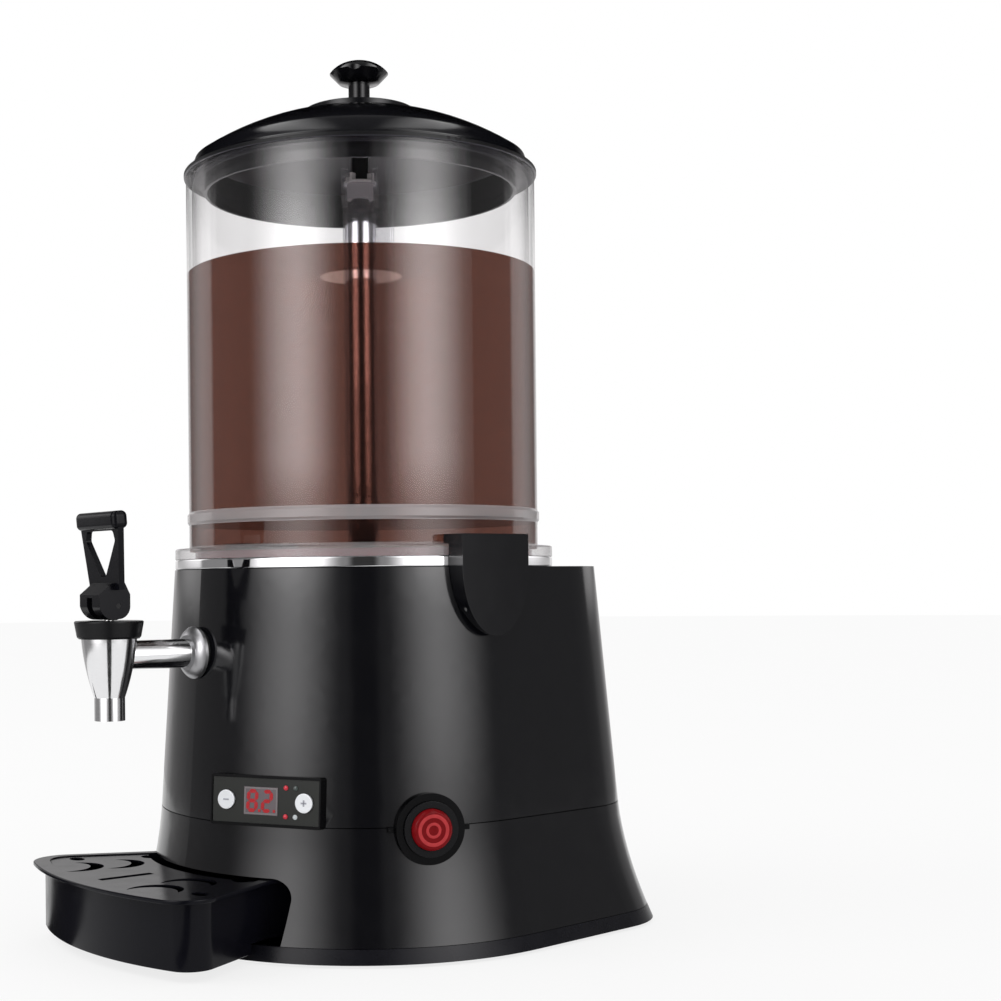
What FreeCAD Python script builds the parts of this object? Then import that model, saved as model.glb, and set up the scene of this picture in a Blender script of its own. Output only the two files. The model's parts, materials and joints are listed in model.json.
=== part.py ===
"""Hot chocolate dispenser: a clear bowl over a heated steel pan, with a paddle, a tap and a drip tray.

Millimetres, +Z up, the front (tap and tray) towards -Y, the floor at Z = 0. Pieces are drawn around the
bowl's axis, and each one's Placement carries it to the part frame, where the bowl's axis stands at
Y = axis_y, so that the origin is the middle of the footprint.
"""

import FreeCAD
import Part
import Sketcher
import math
import os
from FreeCAD import Rotation, Vector

doc = FreeCAD.newDocument("HotChocolateDispenser")

# --------------------------------------------------------------------------------------------------
# Driving dimensions: alias, value, meaning
# --------------------------------------------------------------------------------------------------

SIZES = (
    ("axis_y", 25.8, "bowl axis behind the middle of the footprint"),
    ("fit_gap", 0.3, "clearance between neighbours that do not turn in each other"),
    ("run_gap", 0.05, "radial clearance of a pin or shaft that turns or slides in its hole"),
    # housing
    ("housing_top", 236.0, "deck of the housing"),
    ("seam_height", 80.0, "seam between upper and lower housing, where the skirt starts to flare"),
    ("seam_gap", 0.6, "open width of the seam"),
    ("top_front_r", 127.4, "front radius of the housing at the deck"),
    ("foot_front_r", 154.0, "front radius of the housing at the floor"),
    ("corner_r", 58.0, "radius of the two rear corners"),
    ("corner_top_x", 66.0, "rear corner centre at the deck, sideways"),
    ("corner_top_y", 70.7, "rear corner centre at the deck, backwards"),
    ("corner_foot_x", 84.0, "rear corner centre at the floor, sideways"),
    ("corner_foot_y", 105.4, "rear corner centre at the floor, backwards"),
    ("draft_share", 0.58, "share of the widening that is a straight draft"),
    ("flare_power", 1.8, "how sharply the skirt flares"),
    ("housing_wall", 3.0, "housing wall"),
    ("lip_depth", 6.0, "locating lip below the seam"),
    ("lip_wall", 2.0, "locating lip wall"),
    # base plate and feet
    ("rim_low", 1.5, "lower edge of the base rim"),
    ("rim_top", 10.5, "upper edge of the base rim"),
    ("rim_wall", 2.5, "base rim wall"),
    ("floor_low", 4.5, "underside of the base floor, height of the feet"),
    ("floor_thick", 2.5, "base floor"),
    ("foot_r", 13.0, "rubber foot radius"),
    ("foot_inset", 26.0, "front feet inside the front edge"),
    ("foot_turn", 39.9, "front feet from the side"),
    ("foot_rear_out", 14.0, "rear feet beyond the rear corners' centres, sideways"),
    ("foot_rear_in", 7.4, "rear feet before the rear corners' centres"),
    ("foot_screw_r", 2.0, "foot screw shank"),
    # bowl
    ("bowl_r", 117.6, "bowl outside radius"),
    ("bowl_wall", 4.0, "bowl wall"),
    ("bowl_top", 499.0, "bowl mouth"),
    ("flange_r", 127.0, "bowl flange and pan rim radius"),
    ("flange_thick", 7.0, "bowl flange"),
    ("bead_low", 266.0, "reinforcing bead, lower edge"),
    ("bead_high", 274.0, "reinforcing bead, upper edge"),
    ("bead_out", 1.1, "reinforcing bead stands out"),
    ("drink_level", 434.0, "level of the chocolate"),
    # pan
    ("pan_rim_thick", 7.0, "pan rim"),
    ("pan_r", 111.0, "pan outside radius"),
    ("pan_wall", 1.2, "pan sheet"),
    ("pan_floor", 166.8, "underside of the pan"),
    ("ledge_r", 119.0, "gasket ledge in the rim"),
    ("ledge_depth", 3.0, "gasket ledge below the rim"),
    ("gasket_rise", 5.0, "gasket lip inside the bowl"),
    ("outlet_boss_r", 11.0, "welded outlet boss"),
    # drive column
    ("tube_r", 6.25, "centre tube outside radius"),
    ("tube_wall", 1.05, "centre tube wall"),
    ("tube_top", 486.0, "centre tube upper end"),
    ("tube_low", 150.0, "centre tube lower end"),
    ("shaft_r", 4.0, "drive shaft"),
    ("bush_long", 14.0, "shaft bushes"),
    ("head_r", 9.0, "drive head"),
    ("head_top", 497.0, "drive head"),
    ("head_fin_r", 11.0, "drive head fins reach"),
    ("head_fin_high", 6.0, "drive head fins"),
    ("head_fin_thick", 1.8, "drive head fins"),
    # paddle
    ("paddle_r", 12.0, "paddle tube outside radius"),
    ("paddle_wall", 1.2, "paddle tube wall"),
    ("paddle_top", 496.0, "paddle hub upper end"),
    ("paddle_hub_low", 478.0, "paddle hub lower end"),
    ("paddle_taper_top", 264.0, "paddle tube starts to narrow"),
    ("paddle_taper_low", 250.0, "paddle tube has narrowed"),
    ("paddle_neck_r", 9.4, "narrow part of the paddle"),
    ("paddle_neck_wall", 2.0, "narrow part of the paddle"),
    ("paddle_low", 173.0, "paddle lower end"),
    ("paddle_fin_r", 21.0, "radial fin reach"),
    ("paddle_fin_thick", 2.0, "radial fin"),
    ("paddle_fin_top", 515.0, "radial fin upper end"),
    ("paddle_bead_r", 1.9, "bead along the fin"),
    ("crown_fin_r", 17.5, "small fins of the paddle's head reach"),
    ("crown_fin_thick", 1.4, "small fins of the paddle's head"),
    ("crown_fin_low", 484.0, "small fins of the paddle's head, lower end"),
    ("crown_fin_top", 505.0, "small fins of the paddle's head, upper end"),
    ("paddle_turn", 54.0, "angle of the fin at rest"),
    ("blade_r", 57.0, "mixing blades reach"),
    ("blade_high", 18.0, "mixing blades"),
    ("blade_low", 177.0, "mixing blades lower edge"),
    ("blade_clear", 5.0, "free space around the turning paddle"),
    # lid
    ("lid_rim_r", 119.0, "lid rim"),
    ("lid_rim_high", 2.5, "lid rim"),
    ("lid_dome_r", 200.0, "dome radius"),
    ("lid_dome_foot_r", 111.5, "dome meets the rim"),
    ("lid_dome_foot_z", 511.0, "dome meets the rim"),
    ("lid_boss_r", 38.0, "raised disc on the dome"),
    ("lid_boss_rise", 4.0, "raised disc edge"),
    ("lid_top", 549.0, "top of the raised disc"),
    ("lid_wall", 2.5, "lid wall"),
    ("lid_skirt_r", 105.3, "plug skirt outside radius"),
    ("lid_skirt_low", 489.0, "plug skirt lower edge"),
    ("lid_skirt_wall", 2.0, "plug skirt wall"),
    ("stem_r", 5.75, "rod under the lid"),
    ("stem_low", 498.0, "rod under the lid, lower end"),
    ("knob_stem_r", 7.2, "knob stem"),
    ("knob_r", 19.8, "knob disc"),
    ("knob_low", 564.5, "knob disc underside at the stem"),
    ("knob_edge", 571.5, "widest height of the knob"),
    ("knob_top", 580.0, "top of the knob"),
    ("knob_scallop_r", 9.0, "finger scallops"),
    ("knob_scallop_in", 1.6, "finger scallops depth"),
    # heater, motor
    ("heater_r", 72.0, "cast heater plate"),
    ("heater_bore", 14.0, "cast heater plate bore"),
    ("heater_thick", 12.0, "cast heater plate"),
    ("element_ring_r", 50.0, "heating element ring"),
    ("element_r", 4.0, "heating element section"),
    ("jacket_thick", 6.0, "insulation jacket"),
    ("jacket_low", 192.0, "insulation jacket lower edge"),
    ("jacket_high", 228.0, "insulation jacket upper edge"),
    ("bracket_top", 142.0, "motor bracket"),
    ("bracket_thick", 2.0, "motor bracket"),
    ("bracket_half_x", 70.0, "motor bracket"),
    ("bracket_front_y", -30.0, "motor bracket"),
    ("bracket_rear_y", 72.0, "motor bracket"),
    ("post_r", 5.0, "bracket posts"),
    ("post_x", 62.0, "bracket posts"),
    ("post_front_y", -22.0, "bracket posts"),
    ("post_rear_y", 62.0, "bracket posts"),
    ("gearbox_r", 34.0, "gearbox"),
    ("gearbox_high", 26.0, "gearbox"),
    ("motor_r", 29.0, "motor can"),
    ("motor_high", 56.0, "motor can"),
    ("motor_screw_r", 2.0, "motor screws"),
    ("motor_screw_ring", 26.0, "motor screws"),
    # tap
    ("tap_reach", 193.0, "spout axis in front of the bowl axis"),
    ("tap_pipe_z", 183.5, "pipe axis"),
    ("tap_pipe_r", 9.15, "pipe"),
    ("tap_shank_r", 8.0, "threaded shank"),
    ("tap_pipe_bore", 5.5, "pipe bore"),
    ("tap_low", 144.0, "spout lower end"),
    ("tap_spout_r", 9.35, "spout"),
    ("tap_spout_straight", 14.0, "straight end of the spout"),
    ("tap_body_top", 194.0, "tap body"),
    ("tap_body_r", 17.0, "tap body"),
    ("tap_curve_r", 150.0, "swell of the tap body"),
    ("tap_wall", 2.3, "tap body wall"),
    ("seat_z", 163.0, "valve seat"),
    ("seat_bore", 4.6, "valve seat bore"),
    ("seat_thick", 2.0, "valve seat"),
    ("spout_bore", 7.0, "spout bore"),
    ("cup_r", 6.4, "valve cup"),
    ("cup_high", 9.0, "valve cup"),
    ("valve_lift", 4.0, "travel of the valve"),
    ("lever_swing", 70.0, "travel of the tap handle in degrees"),
    ("collar_r", 21.35, "tap collar"),
    ("collar_high", 11.0, "tap collar"),
    ("collar_taper", 1.8, "tap collar is narrower at its foot"),
    ("valve_rod_r", 3.0, "valve rod"),
    ("pivot_z", 214.0, "tap handle pivot"),
    ("pivot_r", 1.6, "tap handle pin"),
    ("cam_r", 7.9, "tap handle cam at rest"),
    ("knuckle_half_x", 13.0, "tap handle knuckle"),
    ("knuckle_top", 228.0, "tap handle knuckle"),
    ("cheek_high", 7.0, "upright sides of the knuckle above the pivot"),
    ("cheek_lap", 2.5, "top of the knuckle around the loop"),
    ("loop_low_half", 19.0, "loop half width at the knuckle"),
    ("loop_high_half", 24.6, "loop half width under the bar"),
    ("loop_thick", 3.8, "loop thickness"),
    ("window_low", 232.0, "loop window lower end"),
    ("window_high", 260.0, "loop window upper end"),
    ("window_low_half", 3.0, "loop window half width at its foot"),
    ("window_high_half", 19.0, "loop window half width at its head"),
    ("bar_half_x", 25.6, "grip bar"),
    ("bar_thick", 10.6, "grip bar"),
    ("bar_top", 271.7, "grip bar"),
    ("loop_lean", 5.0, "loop and bar lean forwards at rest, in degrees"),
    ("rosette_r", 16.5, "rosette"),
    ("rosette_thick", 6.5, "rosette"),
    ("washer_thick", 0.65, "washer behind the rosette, at its thinnest"),
    ("washer_in", 2.0, "washer inside the rosette's edge"),
    ("locknut_half", 12.5, "locknut radius"),
    ("locknut_thick", 4.0, "locknut"),
    ("locknut_room", 1.6, "space between the locknut and the housing"),
    ("spring_coil_r", 5.0, "valve spring"),
    ("spring_wire_r", 0.6, "valve spring"),
    ("spring_turns", 5.0, "valve spring"),
    # drip tray
    ("tray_top", 48.3, "tray rim"),
    ("tray_lip_out", 6.0, "tray rim stands out"),
    ("tray_lip_thick", 2.6, "tray rim"),
    ("tray_lip_rear_r", 118.0, "rear end of the rim, around the bowl axis"),
    ("tray_low", 6.0, "tray underside"),
    ("tongue_low", 12.0, "underside of the part in the housing"),
    ("tray_front", 213.0, "tray front in front of the bowl axis"),
    ("tray_half", 99.0, "half width at the front corners"),
    ("tray_corner_y", 191.0, "front corners in front of the bowl axis"),
    ("tray_neck_half", 66.0, "half width at the housing"),
    ("tray_neck_y", 124.0, "where the sides turn straight"),
    ("tray_rear_y", 90.0, "rear end of the tray"),
    ("grille_rear_r", 147.0, "hollow rear edge of the grille, around the bowl axis"),
    ("tray_corner_r", 16.0, "front corner radius"),
    ("tray_wall", 2.5, "tray wall"),
    ("grille_thick", 2.2, "grille plate"),
    ("grille_drop", 0.8, "grille below the rim"),
    ("grille_leg_r", 3.0, "grille legs"),
    ("crescent_r", 17.0, "crescent holes, outer and inner edge"),
    ("slot_long", 36.0, "middle slot of the grille"),
    ("slot_wide", 6.5, "middle slot of the grille"),
    ("tunnel_half", 84.0, "tray opening half width"),
    ("tunnel_top", 49.1, "tray opening upper edge"),
    ("tunnel_round", 13.0, "tray opening corners"),
    ("tunnel_rear", 86.0, "tray opening back wall in front of the bowl axis"),
    ("tunnel_wall", 2.0, "tray opening wall"),
    # clamps
    ("clamp_half", 26.4, "clamp half width"),
    ("clamp_face_x", 138.0, "clamp outer face"),
    ("clamp_top", 256.0, "clamp top"),
    ("clamp_low", 193.7, "clamp lower end"),
    ("clamp_oval_z", 236.0, "height where the clamp starts to round"),
    ("clamp_wall", 2.2, "clamp wall"),
    ("clamp_reach_x", 119.5, "hook reaches in to"),
    ("clamp_pin_x", 133.2, "clamp pin"),
    ("clamp_pin_z", 210.0, "clamp pin"),
    ("clamp_pin_r", 1.15, "clamp pin"),
    ("clamp_pin_half", 20.4, "clamp pin half length"),
    ("clamp_relief_x", 135.4, "clamp walls stand off at the lower end"),
    ("clamp_ear_half", 11.0, "clamp bracket half length"),
    ("clamp_ear_r", 2.4, "clamp bracket eye"),
    ("clamp_wire_r", 0.55, "clamp spring wire"),
    ("clamp_coil_r", 1.85, "clamp spring coil"),
    ("clamp_spring_long", 6.0, "clamp spring length"),
    # controller
    ("panel_turn", 27.8, "controller from the front"),
    ("panel_z", 95.0, "controller height"),
    ("panel_half_x", 38.0, "controller bezel"),
    ("panel_half_z", 15.4, "controller bezel"),
    ("face_half_x", 36.8, "controller face"),
    ("face_half_z", 13.6, "controller face"),
    ("panel_out", 2.2, "bezel stands out of the wall at its middle"),
    ("panel_deep", 9.8, "bezel depth"),
    ("face_sunk", 0.6, "face below the bezel's edge"),
    ("face_thick", 1.0, "controller face"),
    ("case_half_x", 35.0, "controller case"),
    ("case_half_z", 14.0, "controller case"),
    ("case_deep", 66.0, "controller case from the face"),
    ("display_x", -3.0, "display middle"),
    ("display_half_x", 11.7, "display"),
    ("display_half_z", 8.4, "display"),
    ("key_x", 26.9, "buttons from the middle"),
    ("key_r", 5.9, "buttons"),
    ("key_out", 1.2, "buttons stand out of the face"),
    ("key_long", 7.0, "buttons"),
    ("key_travel", 0.8, "buttons"),
    ("lamp_x", 14.2, "indicator lights, first column"),
    ("lamp_step_x", 6.6, "indicator lights, second column"),
    ("lamp_z", 8.6, "indicator lights above and below the middle"),
    ("lamp_r", 1.1, "indicator lights"),
    # power switch
    ("switch_turn", 69.7, "switch from the front"),
    ("switch_z", 79.0, "switch height"),
    ("switch_ring_r", 21.5, "outer ring"),
    ("switch_collar_r", 17.0, "inner collar"),
    ("switch_cap_r", 12.5, "lit cap"),
    ("switch_ring_out", 4.5, "ring stands out"),
    ("switch_collar_out", 6.3, "collar stands out"),
    ("switch_cap_out", 10.4, "cap stands out"),
    ("switch_neck_r", 14.0, "switch body and neck"),
    ("switch_deep", 32.0, "switch body behind the wall"),
    ("switch_travel", 2.0, "cap travel"),
    ("switch_lug_r", 25.6, "side lugs reach"),
    ("switch_lug_half", 1.6, "side lugs"),
    # rear panel
    ("vent_z", 157.0, "rear panel middle"),
    ("vent_half_x", 54.0, "rear panel"),
    ("vent_half_z", 50.0, "rear panel"),
    ("vent_thick", 1.5, "rear panel"),
    ("vent_edge", 8.0, "rear panel overlaps the housing"),
    ("louvre_half_x", 38.0, "louvre slots"),
    ("louvre_high", 3.6, "louvre slots"),
    ("louvre_pitch", 9.0, "louvre slots"),
    ("gland_z", -28.0, "cord gland below the panel's middle"),
    ("gland_r", 10.0, "cord gland"),
    ("gland_bore", 4.0, "cord gland"),
    ("gland_out", 14.0, "cord gland stands out"),
    ("panel_screw_r", 1.6, "panel screws"),
    # power board
    ("board_half_x", 42.0, "power board"),
    ("board_front_y", 76.0, "power board"),
    ("board_rear_y", 128.0, "power board"),
    ("board_z", 16.0, "power board"),
    ("board_thick", 1.6, "power board"),
)


class Length:
    """A number worked out from the sheet, with the expression that keeps it up to date."""

    def __init__(self, number, text):
        self.number = float(number)
        self.text = text

    def __float__(self):
        return self.number

    def __add__(self, other):
        other = length(other)
        return Length(self.number + other.number, f"({self.text} + {other.text})")

    def __radd__(self, other):
        return length(other) + self

    def __sub__(self, other):
        other = length(other)
        return Length(self.number - other.number, f"({self.text} - {other.text})")

    def __rsub__(self, other):
        return length(other) - self

    def __mul__(self, other):
        other = length(other)
        return Length(self.number * other.number, f"({self.text} * {other.text})")

    def __rmul__(self, other):
        return length(other) * self

    def __truediv__(self, other):
        other = length(other)
        return Length(self.number / other.number, f"({self.text} / {other.text})")

    def __neg__(self):
        return Length(-self.number, f"(-1 * {self.text})")


def length(value):
    if isinstance(value, Length):
        return value
    number = float(value)
    return Length(number, repr(number) if number >= 0 else f"(0 - {-number!r})")


def sine(angle):
    return Length(math.sin(math.radians(float(angle))), f"sin({angle.text} * 1 deg)")


def cosine(angle):
    return Length(math.cos(math.radians(float(angle))), f"cos({angle.text} * 1 deg)")


def root(value):
    return Length(math.sqrt(float(value)), f"sqrt({value.text})")


def arc_tangent(value):
    """The angle, in degrees, whose tangent is this."""
    return Length(math.degrees(math.atan(float(value))), f"(atan({value.text}) / 1 deg)")


class Sheet:
    """The document's spreadsheet, read by alias."""

    def __init__(self, rows):
        self.cells = doc.addObject("Spreadsheet::Sheet", "Sizes")
        for row, (alias, value, meaning) in enumerate(rows, start=1):
            self.cells.set(f"A{row}", alias)
            self.cells.set(f"B{row}", repr(value))
            self.cells.set(f"C{row}", meaning)
            self.cells.setAlias(f"B{row}", alias)
        doc.recompute()

    def __getattr__(self, alias):
        return Length(self.cells.get(alias), f"Sizes.{alias}")


S = Sheet(SIZES)

# --------------------------------------------------------------------------------------------------
# Ways of making pieces
# --------------------------------------------------------------------------------------------------

ALONG = {
    "+Z": Rotation(),
    "-Z": Rotation(Vector(1, 0, 0), 180),
    "+Y": Rotation(Vector(1, 0, 0), -90),
    "-Y": Rotation(Vector(1, 0, 0), 90),
    "+X": Rotation(Vector(0, 1, 0), 90),
}


def bind(thing, path, value):
    """Sets a property now, and ties it to the sheet where the value comes from the sheet."""
    value = length(value)
    if "Sizes." in value.text:
        thing.setExpression(path, value.text)
    elif "." in path:
        head, tail = path.rsplit(".", 1)
        base = Vector(thing.Placement.Base)
        setattr(base, tail, value.number)
        thing.Placement = FreeCAD.Placement(base, thing.Placement.Rotation)
        assert head == "Placement.Base"
    else:
        setattr(thing, path, value.number)


def place(thing, at, along="+Z"):
    thing.Placement = FreeCAD.Placement(Vector(), ALONG[along])
    for axis, value in zip("xyz", at):
        bind(thing, f"Placement.Base.{axis}", value)
    return thing


def cylinder(name, radius, high, at=(0, 0, 0), along="+Z"):
    solid = doc.addObject("Part::Cylinder", name)
    bind(solid, "Radius", radius)
    bind(solid, "Height", high)
    return place(solid, at, along)


def box(name, low, high):
    solid = doc.addObject("Part::Box", name)
    for side, least, most in zip(("Length", "Width", "Height"), low, high):
        bind(solid, side, length(most) - least)
    return place(solid, low)


def fuse(name, *shapes):
    joined = doc.addObject("Part::MultiFuse", name)
    joined.Shapes = list(shapes)
    return joined


def cut(name, base, *tools):
    result = doc.addObject("Part::Cut", name)
    result.Base = base
    result.Tool = tools[0] if len(tools) == 1 else fuse(name + "Tools", *tools)
    return result


def common(name, first, second):
    result = doc.addObject("Part::MultiCommon", name)
    result.Shapes = [first, second]
    return result


def tube(name, outer, inner, low, high, at=(0, 0), along="+Z"):
    return cut(
        name,
        cylinder(name + "Outer", outer, length(high) - low, (*at, low), along),
        cylinder(name + "Bore", inner, length(high) - low, (*at, low), along),
    )


def moved(name, thing, at=(0, 0, 0), turn=0, axis=(0, 0, 1)):
    """The same piece at another place, turned about an axis through its own origin."""
    group = doc.addObject("Part::Compound", name)
    group.Links = [thing] if not isinstance(thing, (list, tuple)) else list(thing)
    group.Placement = FreeCAD.Placement(Vector(), Rotation(Vector(*axis), 0.001))
    turn = length(turn)
    if "Sizes." in turn.text:
        group.setExpression("Placement.Rotation.Angle", turn.text)
    else:
        group.Placement = FreeCAD.Placement(Vector(), Rotation(Vector(*axis), turn.number))
    for letter, value in zip("xyz", at):
        bind(group, f"Placement.Base.{letter}", value)
    return group


def tilted(name, thing, angle, about_y, about_z):
    """Turned about the X direction at a given point."""
    turned_y = about_y * cosine(angle) - about_z * sine(angle)
    turned_z = about_y * sine(angle) + about_z * cosine(angle)
    return moved(name, thing, (0, about_y - turned_y, about_z - turned_z), angle, (1, 0, 0))


def plane_of(body, role):
    return next(f for f in body.Origin.OriginFeatures if f.Role == role)


def side_curve(start, end, radius):
    """The arc from start to end, anticlockwise for a positive radius and clockwise for a negative one."""
    middle = (start + end) * 0.5
    half = (end - start).Length / 2
    along = (end - start) / (2 * half)
    rise = math.sqrt(radius * radius - half * half)
    left = Vector(-along.y, along.x, 0) * math.copysign(rise, radius)
    centre = middle + left
    circle = Part.Circle(centre, Vector(0, 0, 1), abs(radius))
    first, last = (start, end) if radius > 0 else (end, start)
    begin = math.atan2(first.y - centre.y, first.x - centre.x)
    finish = math.atan2(last.y - centre.y, last.x - centre.x)
    return Part.ArcOfCircle(circle, begin, finish)


def drawn(body, name, plane, corners, arcs=None, offset=0):
    """A closed sketch through corners given as pairs of sizes; arcs maps a side to its signed radius."""
    arcs = arcs or {}
    sketch = body.newObject("Sketcher::SketchObject", name)
    sketch.AttachmentSupport = (plane_of(body, plane), [""])
    sketch.MapMode = "FlatFace"
    offset = length(offset)
    if "Sizes." in offset.text:
        sketch.setExpression("AttachmentOffset.Base.z", offset.text)
    else:
        sketch.AttachmentOffset = FreeCAD.Placement(Vector(0, 0, offset.number), Rotation())
    corners = [(length(x), length(y)) for x, y in corners]
    points = [Vector(x.number, y.number, 0) for x, y in corners]
    count = len(points)
    for i in range(count):
        start, end = points[i], points[(i + 1) % count]
        if i in arcs:
            sketch.addGeometry(side_curve(start, end, float(arcs[i])))
        else:
            sketch.addGeometry(Part.LineSegment(start, end))
    begins = {i: 2 if i in arcs and float(arcs[i]) < 0 else 1 for i in range(count)}
    for i in range(count):
        after = (i + 1) % count
        sketch.addConstraint(Sketcher.Constraint("Coincident", i, 3 - begins[i], after, begins[after]))
    for i, (x, y) in enumerate(corners):
        for kind, value, line in (("DistanceX", x, -2), ("DistanceY", y, -1)):
            if value.number == 0 and "Sizes." not in value.text:
                sketch.addConstraint(Sketcher.Constraint("PointOnObject", i, begins[i], line))
                continue
            added = sketch.addConstraint(Sketcher.Constraint(kind, -1, 1, i, begins[i], value.number))
            if "Sizes." in value.text:
                sketch.setExpression(f"Constraints[{added}]", value.text)
    for i, radius in arcs.items():
        radius = length(radius)
        added = sketch.addConstraint(Sketcher.Constraint("Radius", i, abs(radius.number)))
        if "Sizes." in radius.text:
            sketch.setExpression(f"Constraints[{added}]", f"abs({radius.text})")
    return sketch


def turned(name, corners, arcs=None):
    """A body of revolution about +Z, from corners given as (radius, height)."""
    body = doc.addObject("PartDesign::Body", name)
    sketch = drawn(body, name + "Profile", "XZ_Plane", corners, arcs)
    turn = body.newObject("PartDesign::Revolution", name + "Turn")
    turn.Profile = sketch
    turn.ReferenceAxis = (sketch, ["V_Axis"])
    turn.Angle = 360.0
    return body


def padded(name, plane, corners, long, arcs=None, offset=0, middle=False):
    """A body of constant section: +Z from XY_Plane, +X from YZ_Plane, -Y from XZ_Plane."""
    body = doc.addObject("PartDesign::Body", name)
    sketch = drawn(body, name + "Profile", plane, corners, arcs, offset)
    pad = body.newObject("PartDesign::Pad", name + "Pad")
    pad.Profile = sketch
    pad.Midplane = middle
    bind(pad, "Length", long)
    return body


def rounded(body, radius, chosen):
    """Rounds the edges of a body that the given test picks."""
    doc.recompute()
    base = body.Tip
    edges = [f"Edge{i}" for i, edge in enumerate(base.Shape.Edges, start=1) if chosen(edge)]
    if not edges:
        raise RuntimeError(f"{body.Name}: no edge to round")
    fillet = body.newObject("PartDesign::Fillet", base.Name + "Round")
    fillet.Base = (base, edges)
    bind(fillet, "Radius", radius)
    return body


def runs_along(axis):
    """A test for straight edges in one direction."""

    def test(edge):
        if edge.Curve.TypeId != "Part::GeomLine":
            return False
        direction = edge.Curve.Direction
        return abs(abs(direction.dot(Vector(*axis))) - 1) < 1e-6

    return test


def coil(name, radius, wire, high, turns, at, along="+Z"):
    """A helical spring of round wire."""
    helix = doc.addObject("Part::Helix", name + "Line")
    bind(helix, "Radius", radius)
    bind(helix, "Height", high)
    bind(helix, "Pitch", length(high) / turns)
    section = doc.addObject("Part::Circle", name + "Wire")
    bind(section, "Radius", wire)
    section.Placement = FreeCAD.Placement(Vector(float(radius), 0, 0), ALONG["-Y"])
    bind(section, "Placement.Base.x", radius)
    sweep = doc.addObject("Part::Sweep", name + "Coil")
    sweep.Sections = [section]
    sweep.Spine = (helix, [])
    sweep.Solid = True
    sweep.Frenet = True
    return place(moved(name + "Placed", sweep), at, along)


def settled(name, shape):
    """A piece whose shape is worked out below from the sheet's numbers."""
    piece = doc.addObject("Part::Feature", name)
    piece.Shape = shape
    return piece


NODES = []


def node(label, *pieces, turn=0):
    """A sub-part, carried from the bowl's axis to the part frame."""
    group = moved("Node_" + label, list(pieces), (0, S.axis_y, 0), turn)
    group.Label = label
    NODES.append(group)
    return group


# --------------------------------------------------------------------------------------------------
# The housing's plan and flare
# --------------------------------------------------------------------------------------------------


def widening(height):
    """0 at the deck, 1 at the floor: a straight draft, and a flare below the seam."""
    top, flare = float(S.housing_top), float(S.seam_height)
    draft = float(S.draft_share)
    share = draft * (top - height) / top
    if height < flare:
        share += (1 - draft) * ((flare - height) / flare) ** float(S.flare_power)
    return share


def between(first, last, height):
    return float(first) + widening(height) * (float(last) - float(first))


def plan(height, inset=0.0):
    """The housing's outline at a height: round in front, two rear corners, a flat back."""
    front = between(S.top_front_r, S.foot_front_r, height) - inset
    corner = float(S.corner_r) - inset
    centre_x = between(S.corner_top_x, S.corner_foot_x, height)
    centre_y = between(S.corner_top_y, S.corner_foot_y, height)
    distance = math.hypot(centre_x, centre_y)
    lean = math.atan2(centre_y, centre_x) - math.acos((front - corner) / distance)
    half = (lean + math.pi / 2) / 2

    def point(radius, angle, x=0.0, y=0.0, side=1):
        return Vector(side * (x + radius * math.cos(angle)), y + radius * math.sin(angle), height)

    nose = Vector(0, -front, height)
    back = Vector(0, centre_y + corner, height)
    sides = {}
    for side in (1, -1):
        sides[side] = (
            point(front, lean, side=side),
            point(front, (lean - math.pi / 2) / 2, side=side),
            point(corner, lean, centre_x, centre_y, side),
            point(corner, half, centre_x, centre_y, side),
            point(corner, math.pi / 2, centre_x, centre_y, side),
        )
    right, left = sides[1], sides[-1]
    edges = (
        Part.Arc(nose, right[1], right[0]).toShape(),
        Part.LineSegment(right[0], right[2]).toShape(),
        Part.Arc(right[2], right[3], right[4]).toShape(),
        Part.LineSegment(right[4], back).toShape(),
        Part.LineSegment(back, left[4]).toShape(),
        Part.Arc(left[4], left[3], left[2]).toShape(),
        Part.LineSegment(left[2], left[0]).toShape(),
        Part.Arc(left[0], left[1], nose).toShape(),
    )
    return Part.Wire(edges)


def stack(low, high, inset=0.0, sections=2):
    """The space inside the outline between two heights."""
    low, high = float(low), float(high)
    heights = [low + (high - low) * i / (sections - 1) for i in range(sections)]
    return Part.makeLoft([plan(height, inset) for height in heights], True, sections == 2)


def wall_radius(height):
    """Front radius of the housing above the seam, as a size."""
    share = S.draft_share * (S.housing_top - height) / S.housing_top
    return S.top_front_r + share * (S.foot_front_r - S.top_front_r)


def back_reach(height):
    """Distance of the flat back from the bowl's axis above the seam, as a size."""
    share = S.draft_share * (S.housing_top - height) / S.housing_top
    return S.corner_top_y + S.corner_r + share * (S.corner_foot_y - S.corner_top_y)


SKIRT_SECTIONS = 7
upper_low = S.seam_height + S.seam_gap / 2
lower_high = S.seam_height - S.seam_gap / 2
skirt_low = S.rim_top + S.fit_gap
floor_top = S.floor_low + S.floor_thick
wall = float(S.housing_wall)
whole_upper = settled("WholeUpper", stack(upper_low, S.housing_top))
whole_lower = settled("WholeLower", stack(skirt_low, lower_high, 0.0, SKIRT_SECTIONS))
whole_seam = settled("WholeSeam", stack(lower_high, upper_low))

panel_y = -wall_radius(S.panel_z)
front_slope = S.draft_share * (S.foot_front_r - S.top_front_r) / S.housing_top
panel_lean = -arc_tangent(front_slope)
switch_y = -wall_radius(S.switch_z)
locknut_back = wall_radius(S.tap_pipe_z) - S.housing_wall - S.locknut_room - S.locknut_thick
outlet_boss_long = locknut_back - S.pan_r
vent_y = back_reach(S.vent_z)
vent_lean = arc_tangent(S.draft_share * (S.corner_foot_y - S.corner_top_y) / S.housing_top)


def on_panel(name, *pieces):
    """Leans with the wall at the controller's height."""
    return tilted(name, list(pieces), panel_lean, panel_y, S.panel_z)


def on_back(name, *pieces):
    """Leans with the flat back at the rear panel's height."""
    return tilted(name, list(pieces), vent_lean, vent_y, S.vent_z)


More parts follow.
